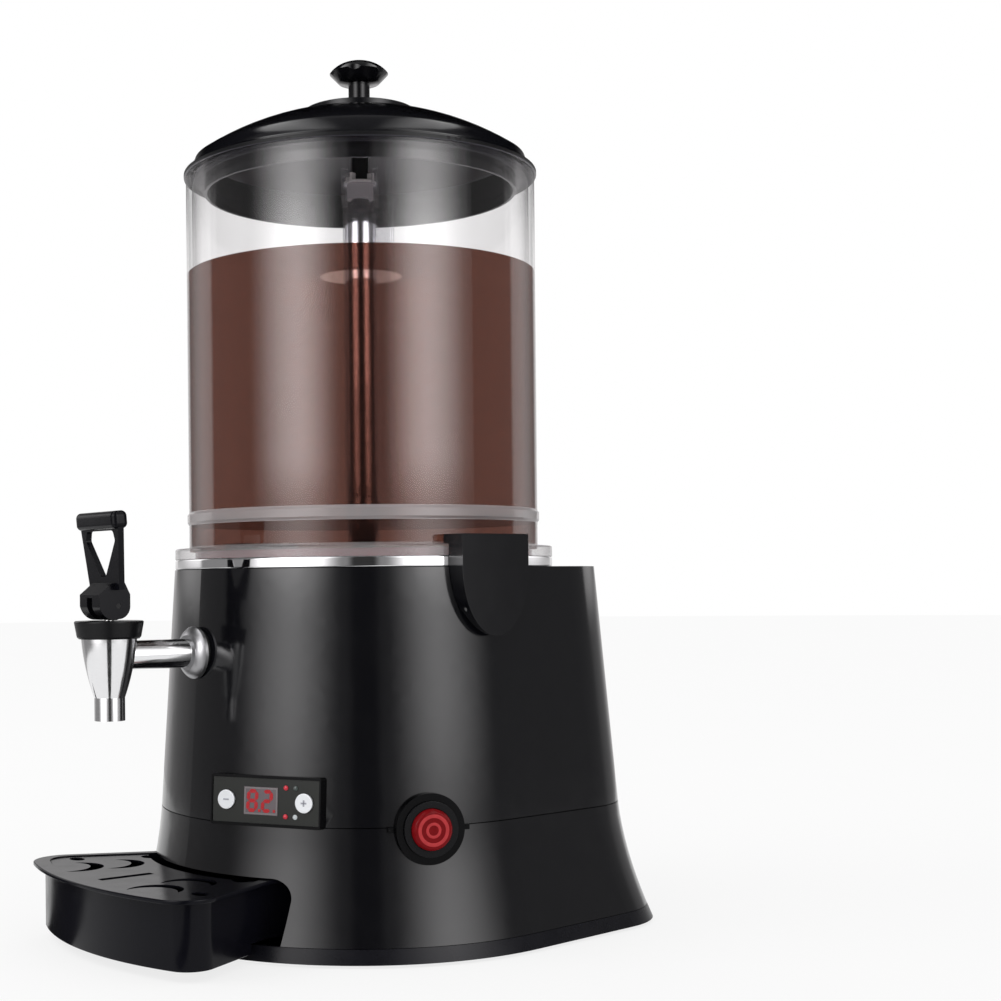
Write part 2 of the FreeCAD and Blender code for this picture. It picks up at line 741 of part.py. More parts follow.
# --------------------------------------------------------------------------------------------------
# Housing, base and feet
# --------------------------------------------------------------------------------------------------


def controller_hole(name):
    gap = S.fit_gap
    half_x, half_z = S.case_half_x + gap, S.case_half_z + gap
    hole = box(
        name + "Box",
        (-half_x, panel_y - S.panel_out, S.panel_z - half_z),
        (half_x, panel_y + S.case_deep, S.panel_z + half_z),
    )
    return moved(name, on_panel(name + "Lean", hole), turn=S.panel_turn)


def switch_hole(name):
    hole = cylinder(
        name + "Bore",
        S.switch_neck_r + S.fit_gap,
        S.switch_deep * 2,
        (0, switch_y + S.switch_deep, S.switch_z),
        "-Y",
    )
    return moved(name, hole, turn=S.switch_turn)


def screw_places():
    """Corners of the rear panel, from its middle."""
    return [(x, z) for x in (-1, 1) for z in (-1, 1)]


def panel_screw(name, side_x, side_z, radius, low, high):
    x = side_x * (S.vent_half_x - S.vent_edge / 2)
    z = S.vent_z + side_z * (S.vent_half_z - S.vent_edge / 2)
    return cylinder(name, radius, length(high) - low, (x, vent_y + low, z), "+Y")


def make_upper_housing():
    inside = settled(
        "UpperInside", stack(upper_low, S.housing_top - wall, wall)
    )
    lip_top = S.seam_height + S.lip_depth
    collar = settled(
        "UpperLipRoot",
        stack(upper_low, lip_top, wall - 0.1).cut(
            stack(float(upper_low) - 1, float(lip_top) + 1, wall + float(S.lip_wall))
        ),
    )
    lip_low = S.seam_height - S.lip_depth
    lip_gap = wall + float(S.fit_gap)
    lip = settled(
        "UpperLip",
        stack(lip_low, upper_low, lip_gap).cut(
            stack(float(lip_low) - 1, float(upper_low) + 1, wall + float(S.lip_wall))
        ),
    )
    mouth = cylinder("PanMouth", S.pan_r + S.fit_gap, wall * 3, (0, 0, S.housing_top - 2 * wall))
    tap_hole = cylinder(
        "TapHole", S.tap_shank_r + S.fit_gap, outlet_boss_long * 3,
        (0, -S.pan_r, S.tap_pipe_z), "-Y",
    )
    vent_x = S.vent_half_x - S.vent_edge
    vent_z = S.vent_half_z - S.vent_edge
    vent = on_back(
        "VentHole",
        box(
            "VentHoleBox",
            (-vent_x, vent_y - 3 * wall, S.vent_z - vent_z),
            (vent_x, vent_y + wall, S.vent_z + vent_z),
        ),
    )
    screws = on_back(
        "VentScrewHoles",
        *[
            panel_screw(f"VentScrewHole{i}", x, z, S.panel_screw_r + S.run_gap, -3 * wall, wall)
            for i, (x, z) in enumerate(screw_places())
        ],
    )
    shell = fuse(
        "UpperShell",
        cut("UpperHollow", whole_upper, inside),
        collar,
        lip,
    )
    node(
        "upper_housing",
        cut(
            "UpperHousing", shell, mouth, tap_hole, vent, screws,
            controller_hole("UpperPanelHole"), switch_hole("UpperSwitchHole"),
        ),
    )


def tunnel(name, half, top, low, front, rear, corner):
    """A passage along Y with two round upper corners."""
    return padded(
        name,
        "XZ_Plane",
        (
            (-half, low),
            (half, low),
            (half, top - corner),
            (half - corner, top),
            (-half + corner, top),
            (-half, top - corner),
        ),
        front - rear,
        {2: corner, 4: corner},
        rear,
    )


def make_lower_housing():
    inside = settled(
        "LowerInside", stack(float(skirt_low), float(lower_high), wall, SKIRT_SECTIONS)
    )
    t = S.tunnel_wall
    reach = S.tray_front
    sleeve = tunnel(
        "TunnelSleeve", S.tunnel_half + t, S.tunnel_top + t, skirt_low, reach,
        S.tunnel_rear - t, S.tunnel_round + t,
    )
    passage = tunnel(
        "TunnelPassage", S.tunnel_half, S.tunnel_top, skirt_low - t, reach,
        S.tunnel_rear, S.tunnel_round,
    )
    shell = fuse(
        "LowerShell",
        cut("LowerHollow", whole_lower, inside),
        common("LowerSleeve", sleeve, whole_lower),
    )
    node(
        "lower_housing",
        cut(
            "LowerHousing", shell, passage,
            controller_hole("LowerPanelHole"), switch_hole("LowerSwitchHole"),
        ),
    )


def foot_places():
    ring = S.foot_front_r - S.foot_inset
    front = (ring * cosine(S.foot_turn), -ring * sine(S.foot_turn))
    rear = (S.corner_foot_x + S.foot_rear_out, S.corner_foot_y - S.foot_rear_in)
    return [(side * x, y) for x, y in (front, rear) for side in (-1, 1)]


def post_places():
    return [(x * S.post_x, y) for y in (S.post_front_y, S.post_rear_y) for x in (-1, 1)]


def make_base():
    rim = settled(
        "BaseRim",
        stack(S.rim_low, S.rim_top).cut(
            stack(float(S.rim_low) - 1, float(S.rim_top) + 1, float(S.rim_wall))
        ),
    )
    floor = settled("BaseFloor", stack(S.floor_low, floor_top, float(S.rim_wall) - 0.1))
    lip_outer = wall + float(S.fit_gap)
    lip_top = float(S.rim_top + S.lip_depth)
    lip = settled(
        "BaseLip",
        stack(floor_top, lip_top, lip_outer).cut(
            stack(float(floor_top) - 1, lip_top + 1, lip_outer + float(S.lip_wall))
        ),
    )
    rail_half, rail_back = 3, 24
    gate = box(
        "BaseGate",
        (-S.tunnel_half - S.tunnel_wall - S.fit_gap, -S.tray_front, floor_top),
        (S.tunnel_half + S.tunnel_wall + S.fit_gap, 0, S.tray_top),
    )
    screw_holes = [
        cylinder(f"BaseScrewHole{i}", S.foot_screw_r + S.run_gap, S.floor_thick * 3,
                 (x, y, S.floor_low - S.floor_thick))
        for i, (x, y) in enumerate(foot_places())
    ]
    lip_open = cut("BaseLipOpen", lip, gate)
    rails = [
        box(
            f"TrayRail{i}",
            (side * S.tray_neck_half / 2 - rail_half, -S.foot_front_r + rail_back, floor_top - 0.1),
            (side * S.tray_neck_half / 2 + rail_half, -S.tray_rear_y, S.tongue_low - S.fit_gap),
        )
        for i, side in enumerate((-1, 1))
    ]
    node("base_plate", cut("BasePlate", fuse("BaseWhole", rim, floor, lip_open, *rails), *screw_holes))

    feet, screws = [], []
    recess, recess_r = 2.0, S.foot_screw_r * 2.4
    head_low, head_thick = 0.6, 1.4
    sole_r = S.foot_r - 1.5
    for i, (x, y) in enumerate(foot_places()):
        foot = moved(
            f"FootPlaced{i}",
            turned(
                f"Foot{i}",
                (
                    (S.foot_screw_r + S.run_gap, recess),
                    (recess_r, recess),
                    (recess_r, 0),
                    (sole_r, 0),
                    (S.foot_r, S.floor_low),
                    (S.foot_screw_r + S.run_gap, S.floor_low),
                ),
            ),
            (x, y, 0),
        )
        feet.append(foot)
        screws.append(
            fuse(
                f"FootScrew{i}",
                cylinder(f"FootScrewHead{i}", S.foot_screw_r * 2, head_thick, (x, y, head_low)),
                cylinder(f"FootScrewShank{i}", S.foot_screw_r, floor_top + 2.0 - head_low,
                         (x, y, head_low)),
            )
        )
    node("feet", *feet)
    node("foot_screws", *screws)


def make_rear_panel():
    plate = box(
        "VentPlate",
        (-S.vent_half_x, vent_y, S.vent_z - S.vent_half_z),
        (S.vent_half_x, vent_y + S.vent_thick, S.vent_z + S.vent_half_z),
    )
    louvres = []
    louvre_count = 6
    thread_r = S.gland_r * 0.7
    thread_in, nut_thick, flange_thick = 4, 3.7, 3
    head_thick = 1.6
    for i in range(louvre_count):
        low = S.vent_z - S.vent_half_z / 4 + S.louvre_pitch * i
        louvres.append(
            box(
                f"Louvre{i}",
                (-S.louvre_half_x, vent_y - 1, low),
                (S.louvre_half_x, vent_y + S.vent_thick + 1, low + S.louvre_high),
            )
        )
    gland_z = S.vent_z + S.gland_z
    gland_hole = cylinder(
        "GlandHole", thread_r + S.run_gap, S.vent_thick * 3,
        (0, vent_y - S.vent_thick, gland_z), "+Y",
    )
    holes = [
        panel_screw(f"PanelScrewHole{i}", x, z, S.panel_screw_r + S.run_gap, -1, S.vent_thick + 1)
        for i, (x, z) in enumerate(screw_places())
    ]
    node("rear_panel", on_back("RearPanel", cut("VentCut", plate, gland_hole, *louvres, *holes)))

    screws = []
    for i, (x, z) in enumerate(screw_places()):
        shank = panel_screw(f"PanelScrewShank{i}", x, z, S.panel_screw_r, -2 * wall, S.vent_thick)
        head = panel_screw(
            f"PanelScrewHead{i}", x, z, S.panel_screw_r * 2, S.vent_thick, S.vent_thick + head_thick
        )
        screws.append(fuse(f"PanelScrew{i}", shank, head))
    node("panel_screws", on_back("PanelScrews", *screws))

    outside = vent_y + S.vent_thick
    gland = fuse(
        "GlandSolid",
        cylinder("GlandThread", thread_r, S.vent_thick + thread_in, (0, vent_y - thread_in, gland_z), "+Y"),
        cylinder("GlandNutInside", S.gland_r, nut_thick, (0, vent_y - thread_in, gland_z), "+Y"),
        cylinder("GlandFlange", S.gland_r, flange_thick, (0, outside, gland_z), "+Y"),
        cylinder("GlandNose", S.gland_r * 0.8, S.gland_out, (0, outside, gland_z), "+Y"),
    )
    bore = cylinder("GlandBore", S.gland_bore, S.gland_out * 3, (0, vent_y - 2 * thread_in, gland_z), "+Y")
    node("cord_gland", on_back("CordGland", cut("GlandCut", gland, bore)))


# --------------------------------------------------------------------------------------------------
# Pan, heater, bowl and lid
# --------------------------------------------------------------------------------------------------

rim_z = S.housing_top + S.pan_rim_thick
flange_z = rim_z + S.flange_thick
pan_inside = S.pan_r - S.pan_wall
bowl_inside = S.bowl_r - S.bowl_wall
ledge_z = rim_z - S.ledge_depth
pan_floor_top = S.pan_floor + S.pan_wall


def make_pan():
    weld_gap, edge_round, gasket_room = 0.02, 1.2, 0.4
    pan = rounded(
        turned(
            "Pan",
            (
                (S.tube_r + weld_gap, S.pan_floor),
                (S.pan_r, S.pan_floor),
                (S.pan_r, S.housing_top),
                (S.flange_r, S.housing_top),
                (S.flange_r, rim_z),
                (S.ledge_r, rim_z),
                (S.ledge_r, ledge_z),
                (pan_inside, ledge_z),
                (pan_inside, pan_floor_top),
                (S.tube_r + weld_gap, pan_floor_top),
            ),
        ),
        edge_round,
        lambda edge: edge.Curve.TypeId == "Part::GeomCircle"
        and abs(edge.Curve.Radius - float(S.flange_r)) < 0.01,
    )
    boss = cylinder(
        "OutletBoss", S.outlet_boss_r, outlet_boss_long + S.pan_wall,
        (0, -pan_inside, S.tap_pipe_z), "-Y",
    )
    hollow = cylinder(
        "PanHollow", pan_inside, S.outlet_boss_r * 3, (0, 0, S.tap_pipe_z - S.outlet_boss_r * 1.5)
    )
    outlet = cylinder(
        "OutletBore", S.tap_shank_r + weld_gap, outlet_boss_long * 3,
        (0, -pan_inside + outlet_boss_long, S.tap_pipe_z), "-Y",
    )
    node("product_pan", cut("PanDone", fuse("PanWelded", pan, cut("BossTrimmed", boss, hollow)), outlet))

    foot = S.gasket_rise + rim_z
    edge = bowl_inside - S.fit_gap
    node(
        "bowl_gasket",
        turned(
            "Gasket",
            (
                (pan_inside + gasket_room, ledge_z),
                (S.ledge_r - S.fit_gap, ledge_z),
                (S.ledge_r - S.fit_gap, rim_z),
                (edge, rim_z),
                (edge, foot),
                (pan_inside + gasket_room, foot),
            ),
        ),
    )


def make_heater():
    low = S.pan_floor - S.heater_thick
    plate = tube("HeaterPlate", S.heater_r, S.heater_bore, low, S.pan_floor)
    groove = doc.addObject("Part::Torus", "ElementGroove")
    bind(groove, "Radius1", S.element_ring_r)
    bind(groove, "Radius2", S.element_r + 0.1)
    place(groove, (0, 0, low))
    node("heater_plate", cut("HeaterCast", plate, groove))

    ring = doc.addObject("Part::Torus", "ElementRing")
    bind(ring, "Radius1", S.element_ring_r)
    bind(ring, "Radius2", S.element_r)
    place(ring, (0, 0, low))
    end_long, end_x = 9, 7
    ends = [
        cylinder(f"ElementEnd{i}", S.element_r * 0.6, end_long,
                 (side * end_x, S.element_ring_r, low - end_long - 1))
        for i, side in enumerate((-1, 1))
    ]
    node("heating_element", fuse("HeatingElement", ring, *ends))

    stat_z = S.pan_floor + 12
    pad_half, can_r, can_long = 9, 7, 9
    pad_low, pad_high = S.pan_r + 0.2, S.pan_r + 3.2
    node(
        "safety_thermostat",
        fuse(
            "Thermostat",
            box("ThermostatPad", (-pad_half, pad_low, stat_z - pad_half),
                (pad_half, pad_high, stat_z + pad_half)),
            cylinder("ThermostatCan", can_r, can_long, (0, pad_high, stat_z), "+Y"),
        ),
    )
    jacket = tube("Jacket", S.pan_r + S.jacket_thick, S.pan_r + S.fit_gap, S.jacket_low, S.jacket_high)
    slot_room = 2
    slot = box(
        "JacketSlot",
        (-S.outlet_boss_r - slot_room, -S.flange_r, S.jacket_low - 1),
        (S.outlet_boss_r + slot_room, 0, S.jacket_high + 1),
    )
    node("insulation_jacket", cut("JacketOpen", jacket, slot))


def make_bowl():
    bead = S.bowl_r + S.bead_out
    outside = S.bowl_r
    bead_slope, edge_round = 1.5, 1.2
    bowl = rounded(
        turned(
            "Bowl",
            (
                (bowl_inside, rim_z),
                (S.flange_r, rim_z),
                (S.flange_r, flange_z),
                (outside, flange_z),
                (outside, S.bead_low),
                (bead, S.bead_low + bead_slope),
                (bead, S.bead_high - bead_slope),
                (outside, S.bead_high),
                (outside, S.bowl_top),
                (bowl_inside, S.bowl_top),
            ),
        ),
        edge_round,
        lambda edge: edge.Curve.TypeId == "Part::GeomCircle"
        and abs(edge.Curve.Radius - float(S.flange_r)) < 0.01
        and edge.Curve.Center.z > float(rim_z) + 1,
    )
    node("bowl", bowl)

    column = S.paddle_fin_r + S.paddle_bead_r + S.blade_clear
    sweep = S.blade_r + S.blade_clear
    ceiling = S.blade_low + S.blade_high + S.blade_clear
    low = pan_floor_top + S.fit_gap
    shoulder = rim_z + S.gasket_rise + S.fit_gap
    node(
        "hot_chocolate",
        turned(
            "Drink",
            (
                (sweep, low),
                (pan_inside - S.fit_gap, low),
                (pan_inside - S.fit_gap, shoulder),
                (bowl_inside - S.fit_gap, shoulder),
                (bowl_inside - S.fit_gap, S.drink_level),
                (column, S.drink_level),
                (column, ceiling),
                (sweep, ceiling),
            ),
        ),
    )


def dome_height(radius, shrink=0):
    """Height of the lid's dome, or of its inside, at a distance from the axis."""
    sphere = S.lid_dome_r - shrink
    foot = S.lid_dome_foot_r
    centre = S.lid_dome_foot_z - root(S.lid_dome_r * S.lid_dome_r - foot * foot)
    return centre + root(sphere * sphere - radius * radius)


def crown(radius, rise):
    """The radius of a cap that is level at the axis."""
    return (radius * radius + rise * rise) / (rise * 2)


def make_lid():
    boss = S.lid_boss_r
    boss_high = dome_height(boss) + S.lid_boss_rise
    inner = S.lid_skirt_r - S.lid_skirt_wall
    rim_high = S.bowl_top + S.lid_rim_high
    shoulder = 2.5
    lid = turned(
        "Lid",
        (
            (0, S.lid_top),
            (0, dome_height(length(0), S.lid_wall)),
            (inner, dome_height(inner, S.lid_wall)),
            (inner, S.lid_skirt_low),
            (S.lid_skirt_r, S.lid_skirt_low),
            (S.lid_skirt_r, S.bowl_top),
            (S.lid_rim_r, S.bowl_top),
            (S.lid_rim_r, rim_high),
            (S.lid_dome_foot_r + shoulder, rim_high + shoulder),
            (S.lid_dome_foot_r, S.lid_dome_foot_z),
            (boss, dome_height(boss)),
            (boss, boss_high),
        ),
        {
            1: -(S.lid_dome_r - S.lid_wall),
            9: S.lid_dome_r,
            11: crown(boss, S.lid_top - boss_high),
        },
    )
    node("lid", lid)

    ceiling = dome_height(S.stem_r, S.lid_wall)
    node("lid_stem", cylinder("LidStem", S.stem_r, ceiling - S.stem_low, (0, 0, S.stem_low)))

    cap_r = S.knob_r * 0.66
    cap_rise = 3.0
    foot_r = S.knob_r * 0.7
    foot_rise = 0.8
    scallop_count, scallop_turn = 6, 15
    knob = turned(
        "Knob",
        (
            (0, S.lid_top),
            (S.knob_stem_r, S.lid_top),
            (S.knob_stem_r, S.knob_low),
            (foot_r, S.knob_low + foot_rise),
            (S.knob_r, S.knob_edge),
            (cap_r, S.knob_top - cap_rise),
            (0, S.knob_top),
        ),
        {4: S.knob_r, 5: crown(cap_r, cap_rise)},
    )
    scallops = []
    away = S.knob_r + S.knob_scallop_r - S.knob_scallop_in
    for i in range(scallop_count):
        scallops.append(
            moved(
                f"ScallopAt{i}",
                cylinder(
                    f"Scallop{i}", S.knob_scallop_r, S.knob_top - S.knob_low + 2,
                    (away, 0, S.knob_low - 1),
                ),
                turn=360 / scallop_count * i + scallop_turn,
            )
        )
    node("lid_knob", cut("KnobScalloped", knob, *scallops))


# --------------------------------------------------------------------------------------------------
# Drive: motor, shaft, centre tube and paddle
# --------------------------------------------------------------------------------------------------

tube_inside = S.tube_r - S.tube_wall
socket_floor = 4
shaft_low = S.bracket_top - S.bracket_thick - S.gearbox_high + socket_floor
screw_count, screw_turn = 3, 30
press_gap = 0.02


def make_drive():
    node("centre_tube", tube("CentreTube", S.tube_r, tube_inside, S.tube_low, S.tube_top))
    node(
        "drive_shaft",
        cylinder("DriveShaft", S.shaft_r, S.head_top - shaft_low, (0, 0, shaft_low)),
    )
    bore = S.shaft_r + S.run_gap
    bush_r = tube_inside - press_gap
    for label, low in (
        ("shaft_bush_top", S.tube_top - S.bush_long - 1),
        ("shaft_bush_low", S.tube_low + 1),
    ):
        node(label, tube("Bush_" + label, bush_r, bore, low, low + S.bush_long))

    head_low = S.tube_top + 0.5
    head = tube("HeadHub", S.head_r, S.shaft_r + press_gap, head_low, S.head_top)
    inner = S.stem_r + 0.7
    crown_low = S.paddle_top + 0.4
    fin_count, fin_turn, fin_root = 4, 20, 3
    fins = []
    for i in range(fin_count):
        fin = box(
            f"HeadFin{i}",
            (inner, -S.head_fin_thick / 2, S.head_top - fin_root),
            (S.head_fin_r, S.head_fin_thick / 2, S.head_top + S.head_fin_high),
        )
        fins.append(moved(f"HeadFinAt{i}", fin, turn=360 / fin_count * i + fin_turn))
    crown = tube("HeadCrown", S.head_fin_r, inner, crown_low, S.head_top + 1)
    fins_trimmed = cut(
        "HeadFins",
        fuse("HeadFinsAll", *fins),
        tube("HeadFinSkirt", S.head_fin_r * 2, S.head_r - 0.1, S.head_top - fin_root - 1, crown_low),
    )
    node("drive_head", fuse("DriveHead", head, crown, fins_trimmed))

    gearbox_top = S.bracket_top - S.bracket_thick
    gearbox_low = gearbox_top - S.gearbox_high
    socket = cylinder("GearboxSocket", bore, S.gearbox_high, (0, 0, shaft_low - 0.5))
    screw_bores = []
    screw_in, screw_head_thick = 6, 2.4
    cap_high = 4
    for i in range(screw_count):
        screw_bores.append(
            moved(
                f"GearboxScrewAt{i}",
                cylinder(f"GearboxScrewBore{i}", S.motor_screw_r + press_gap, screw_in + 2,
                         (S.motor_screw_ring, 0, gearbox_top - screw_in - 1)),
                turn=360 / screw_count * i + screw_turn,
            )
        )
    node(
        "gearbox",
        cut("Gearbox", cylinder("GearboxCan", S.gearbox_r, S.gearbox_high, (0, 0, gearbox_low)),
            socket, *screw_bores),
    )
    node(
        "motor",
        fuse(
            "Motor",
            cylinder("MotorCan", S.motor_r, S.motor_high, (0, 0, gearbox_low - S.motor_high)),
            cylinder("MotorCap", S.motor_r * 0.45, cap_high, (0, 0, gearbox_low - S.motor_high - cap_high)),
        ),
    )
    plate = box(
        "BracketPlate",
        (-S.bracket_half_x, S.bracket_front_y, gearbox_top),
        (S.bracket_half_x, S.bracket_rear_y, S.bracket_top),
    )
    holes = [cylinder("BracketShaftHole", S.tube_r + 2, 3 * S.bracket_thick,
                      (0, 0, gearbox_top - S.bracket_thick))]
    screws = []
    for i in range(screw_count):
        holes.append(
            moved(
                f"BracketScrewAt{i}",
                cylinder(f"BracketScrewHole{i}", S.motor_screw_r + S.run_gap, 3 * S.bracket_thick,
                         (S.motor_screw_ring, 0, gearbox_top - S.bracket_thick)),
                turn=360 / screw_count * i + screw_turn,
            )
        )
        screw = fuse(
            f"MotorScrew{i}",
            cylinder(f"MotorScrewShank{i}", S.motor_screw_r, screw_in + S.bracket_thick,
                     (S.motor_screw_ring, 0, gearbox_top - screw_in)),
            cylinder(f"MotorScrewHead{i}", S.motor_screw_r * 1.9, screw_head_thick,
                     (S.motor_screw_ring, 0, S.bracket_top)),
        )
        screws.append(moved(f"MotorScrewAt{i}", screw, turn=360 / screw_count * i + screw_turn))
    node("motor_bracket", cut("MotorBracket", plate, *holes))
    node("motor_screws", *screws)
    node(
        "bracket_posts",
        *[
            cylinder(f"Post{i}", S.post_r, gearbox_top - floor_top, (x, y, floor_top))
            for i, (x, y) in enumerate(post_places())
        ],
    )


def make_paddle():
    inside = S.paddle_r - S.paddle_wall
    hub_bore = S.head_r + S.run_gap * 2
    neck_bore = S.paddle_neck_r - S.paddle_neck_wall
    barrel = turned(
        "PaddleBarrel",
        (
            (neck_bore, S.paddle_low),
            (S.paddle_neck_r, S.paddle_low),
            (S.paddle_neck_r, S.paddle_taper_low),
            (S.paddle_r, S.paddle_taper_top),
            (S.paddle_r, S.paddle_top),
            (hub_bore, S.paddle_top),
            (hub_bore, S.paddle_hub_low),
            (inside, S.paddle_hub_low - 2),
            (inside, S.paddle_taper_top),
            (neck_bore, S.paddle_taper_low),
        ),
    )
    fin = box(
        "PaddleFin",
        (S.paddle_r - S.paddle_wall / 2, -S.paddle_fin_thick / 2, S.paddle_taper_top),
        (S.paddle_fin_r, S.paddle_fin_thick / 2, S.paddle_fin_top),
    )
    bead = cylinder(
        "PaddleBead", S.paddle_bead_r, S.paddle_fin_top - S.paddle_taper_top,
        (S.paddle_fin_r, 0, S.paddle_taper_top),
    )
    blades = []
    blade_lean, blade_half = 5, 1
    for i, side in enumerate((1, -1)):
        blade = padded(
            f"Blade{i}",
            "YZ_Plane",
            (
                (-blade_lean * side - blade_half, S.blade_low),
                (-blade_lean * side + blade_half, S.blade_low),
                (blade_lean * side + blade_half, S.blade_low + S.blade_high),
                (blade_lean * side - blade_half, S.blade_low + S.blade_high),
            ),
            S.blade_r - S.paddle_neck_r + S.paddle_neck_wall / 2,
            offset=S.paddle_neck_r - S.paddle_neck_wall / 2 if side > 0 else -S.blade_r,
        )
        blades.append(blade)
    crown_fins = []
    crown_fin_count, crown_fin_turn = 4, 45
    for i in range(crown_fin_count):
        crown_fin = box(
            f"CrownFin{i}",
            (S.paddle_r - S.paddle_wall / 2, -S.crown_fin_thick / 2, S.crown_fin_low),
            (S.crown_fin_r, S.crown_fin_thick / 2, S.crown_fin_top),
        )
        crown_fins.append(moved(f"CrownFinAt{i}", crown_fin, turn=360 / crown_fin_count * i + crown_fin_turn))
    node("paddle", fuse("Paddle", barrel, fin, bead, *crown_fins, *blades), turn=S.paddle_turn)


# --------------------------------------------------------------------------------------------------
# Tap
# --------------------------------------------------------------------------------------------------

tap_y = -S.tap_reach
tap_wall_y = -wall_radius(S.tap_pipe_z)
washer_r = S.rosette_r - S.washer_in
rosette_back_y = tap_wall_y - S.washer_thick - washer_r * front_slope
seat_low = S.seat_z - S.seat_thick
swell_low = S.tap_low + S.tap_spout_straight


def at_spout(name, piece):
    return moved(name, piece, (0, tap_y, 0))


def make_tap_body():
    outside = turned(
        "TapCone",
        (
            (0, S.tap_low),
            (S.tap_spout_r, S.tap_low),
            (S.tap_spout_r, swell_low),
            (S.tap_body_r, S.tap_body_top),
            (0, S.tap_body_top),
        ),
        {2: S.tap_curve_r},
    )
    chamber_low = S.seat_z + S.cup_high / 2
    chamber = turned(
        "TapChamber",
        (
            (0, S.tap_low - 1),
            (S.spout_bore, S.tap_low - 1),
            (S.spout_bore, seat_low),
            (S.seat_bore, seat_low),
            (S.seat_bore, S.seat_z),
            (S.cup_r + 0.5, S.seat_z),
            (S.cup_r + 0.5, chamber_low),
            (S.tap_body_r - S.tap_wall, S.tap_body_top + 1),
            (0, S.tap_body_top + 1),
        ),
    )
    pipe = cylinder(
        "TapPipe", S.tap_pipe_r, S.tap_reach + rosette_back_y, (0, rosette_back_y, S.tap_pipe_z), "-Y"
    )
    shank_end = -pan_inside
    shank = cylinder(
        "TapShank", S.tap_shank_r, shank_end - rosette_back_y, (0, shank_end, S.tap_pipe_z), "-Y"
    )
    bore = cylinder(
        "TapPipeBore", S.tap_pipe_bore, S.tap_reach + shank_end + 1, (0, shank_end + 1, S.tap_pipe_z), "-Y"
    )
    metal = fuse("TapCasting", at_spout("TapConeAt", outside), pipe, shank)
    node("tap_body", cut("TapBody", metal, at_spout("TapChamberAt", chamber), bore))

    thick = S.rosette_thick
    disc = turned(
        "RosetteDisc",
        (
            (S.tap_pipe_r + S.run_gap, 0),
            (S.rosette_r, 0),
            (S.rosette_r, thick * 0.3),
            (S.tap_pipe_r + 2.0, thick),
            (S.tap_pipe_r + S.run_gap, thick),
        ),
        {2: S.rosette_r * 0.7},
    )
    rosette = place(moved("RosetteAt", disc), (0, rosette_back_y, S.tap_pipe_z), "-Y")
    node("tap_rosette", rosette)

    washer_deep = S.washer_thick * 10
    blank = cut(
        "WasherBlank",
        cylinder("WasherDisc", washer_r, washer_deep,
                 (0, rosette_back_y + washer_deep, S.tap_pipe_z), "-Y"),
        cylinder("WasherHole", S.tap_shank_r + 0.1, washer_deep * 3,
                 (0, rosette_back_y + washer_deep * 2, S.tap_pipe_z), "-Y"),
    )
    node("tap_washer", cut("Washer", blank, whole_upper))

    nut_y = -locknut_back - 0.1
    nut = doc.addObject("Part::Prism", "LocknutPrism")
    nut.Polygon = 6
    bind(nut, "Circumradius", S.locknut_half)
    bind(nut, "Height", S.locknut_thick)
    place(nut, (0, nut_y, S.tap_pipe_z), "-Y")
    hole = cylinder("LocknutHole", S.tap_shank_r + press_gap, S.locknut_thick * 3,
                    (0, nut_y + S.locknut_thick, S.tap_pipe_z), "-Y")
    node("tap_locknut", cut("Locknut", nut, hole))


def cam_corner(degrees, radius):
    """A point of the cam, from straight down towards the front."""
    angle = length(degrees)
    return (-radius * sine(angle), S.pivot_z - radius * cosine(angle))


def make_tap_top():
    rod_hole = S.valve_rod_r + S.run_gap
    collar_low = S.tap_body_top
    collar_high = collar_low + S.collar_high
    foot_r = S.collar_r - S.collar_taper
    foot_slope, top_round = 1.2, 1.0
    collar = rounded(
        turned(
            "Collar",
            (
                (rod_hole, collar_low),
                (foot_r - foot_slope, collar_low),
                (foot_r, collar_low + foot_slope),
                (S.collar_r, collar_high),
                (rod_hole, collar_high),
            ),
        ),
        top_round,
        lambda edge: edge.Curve.TypeId == "Part::GeomCircle"
        and abs(edge.Curve.Radius - float(S.collar_r)) < 0.01
        and edge.Curve.Center.z > float(collar_high) - 0.01,
    )
    node("tap_collar", at_spout("CollarAt", collar))

    rod_low = 1
    rod_top = S.pivot_z + S.pivot_r + 1.8
    rod = cylinder(
        "ValveRod", S.valve_rod_r, rod_top - S.seat_z - rod_low, (0, tap_y, S.seat_z + rod_low)
    )
    eye = cylinder("ValveRodEye", S.pivot_r + press_gap, S.valve_rod_r * 4,
                   (-S.valve_rod_r * 2, tap_y, S.pivot_z), "+X")
    node("tap_stem", cut("TapStem", rod, eye))
    cup_low, cup_slope = S.seat_z + 0.05, 2
    cup = turned(
        "SeatCup",
        (
            (0, cup_low),
            (S.cup_r * 0.75, cup_low),
            (S.cup_r, S.seat_z + cup_slope),
            (S.cup_r, S.seat_z + S.cup_high),
            (S.valve_rod_r + press_gap, S.seat_z + S.cup_high),
            (S.valve_rod_r + press_gap, S.seat_z + rod_low),
            (0, S.seat_z + rod_low),
        ),
    )
    node("tap_seat_cup", at_spout("SeatCupAt", cup))
    node(
        "tap_pin",
        cylinder("TapPin", S.pivot_r, 2 * S.knuckle_half_x - 0.4,
                 (-S.knuckle_half_x + 0.2, tap_y, S.pivot_z), "+X"),
    )
    spring_low = S.seat_z + S.cup_high + S.spring_wire_r + 0.1
    spring_high = collar_low - S.spring_wire_r - 0.1
    node(
        "tap_spring",
        coil("TapSpring", S.spring_coil_r, S.spring_wire_r, spring_high - spring_low,
             S.spring_turns, (0, tap_y, spring_low)),
    )


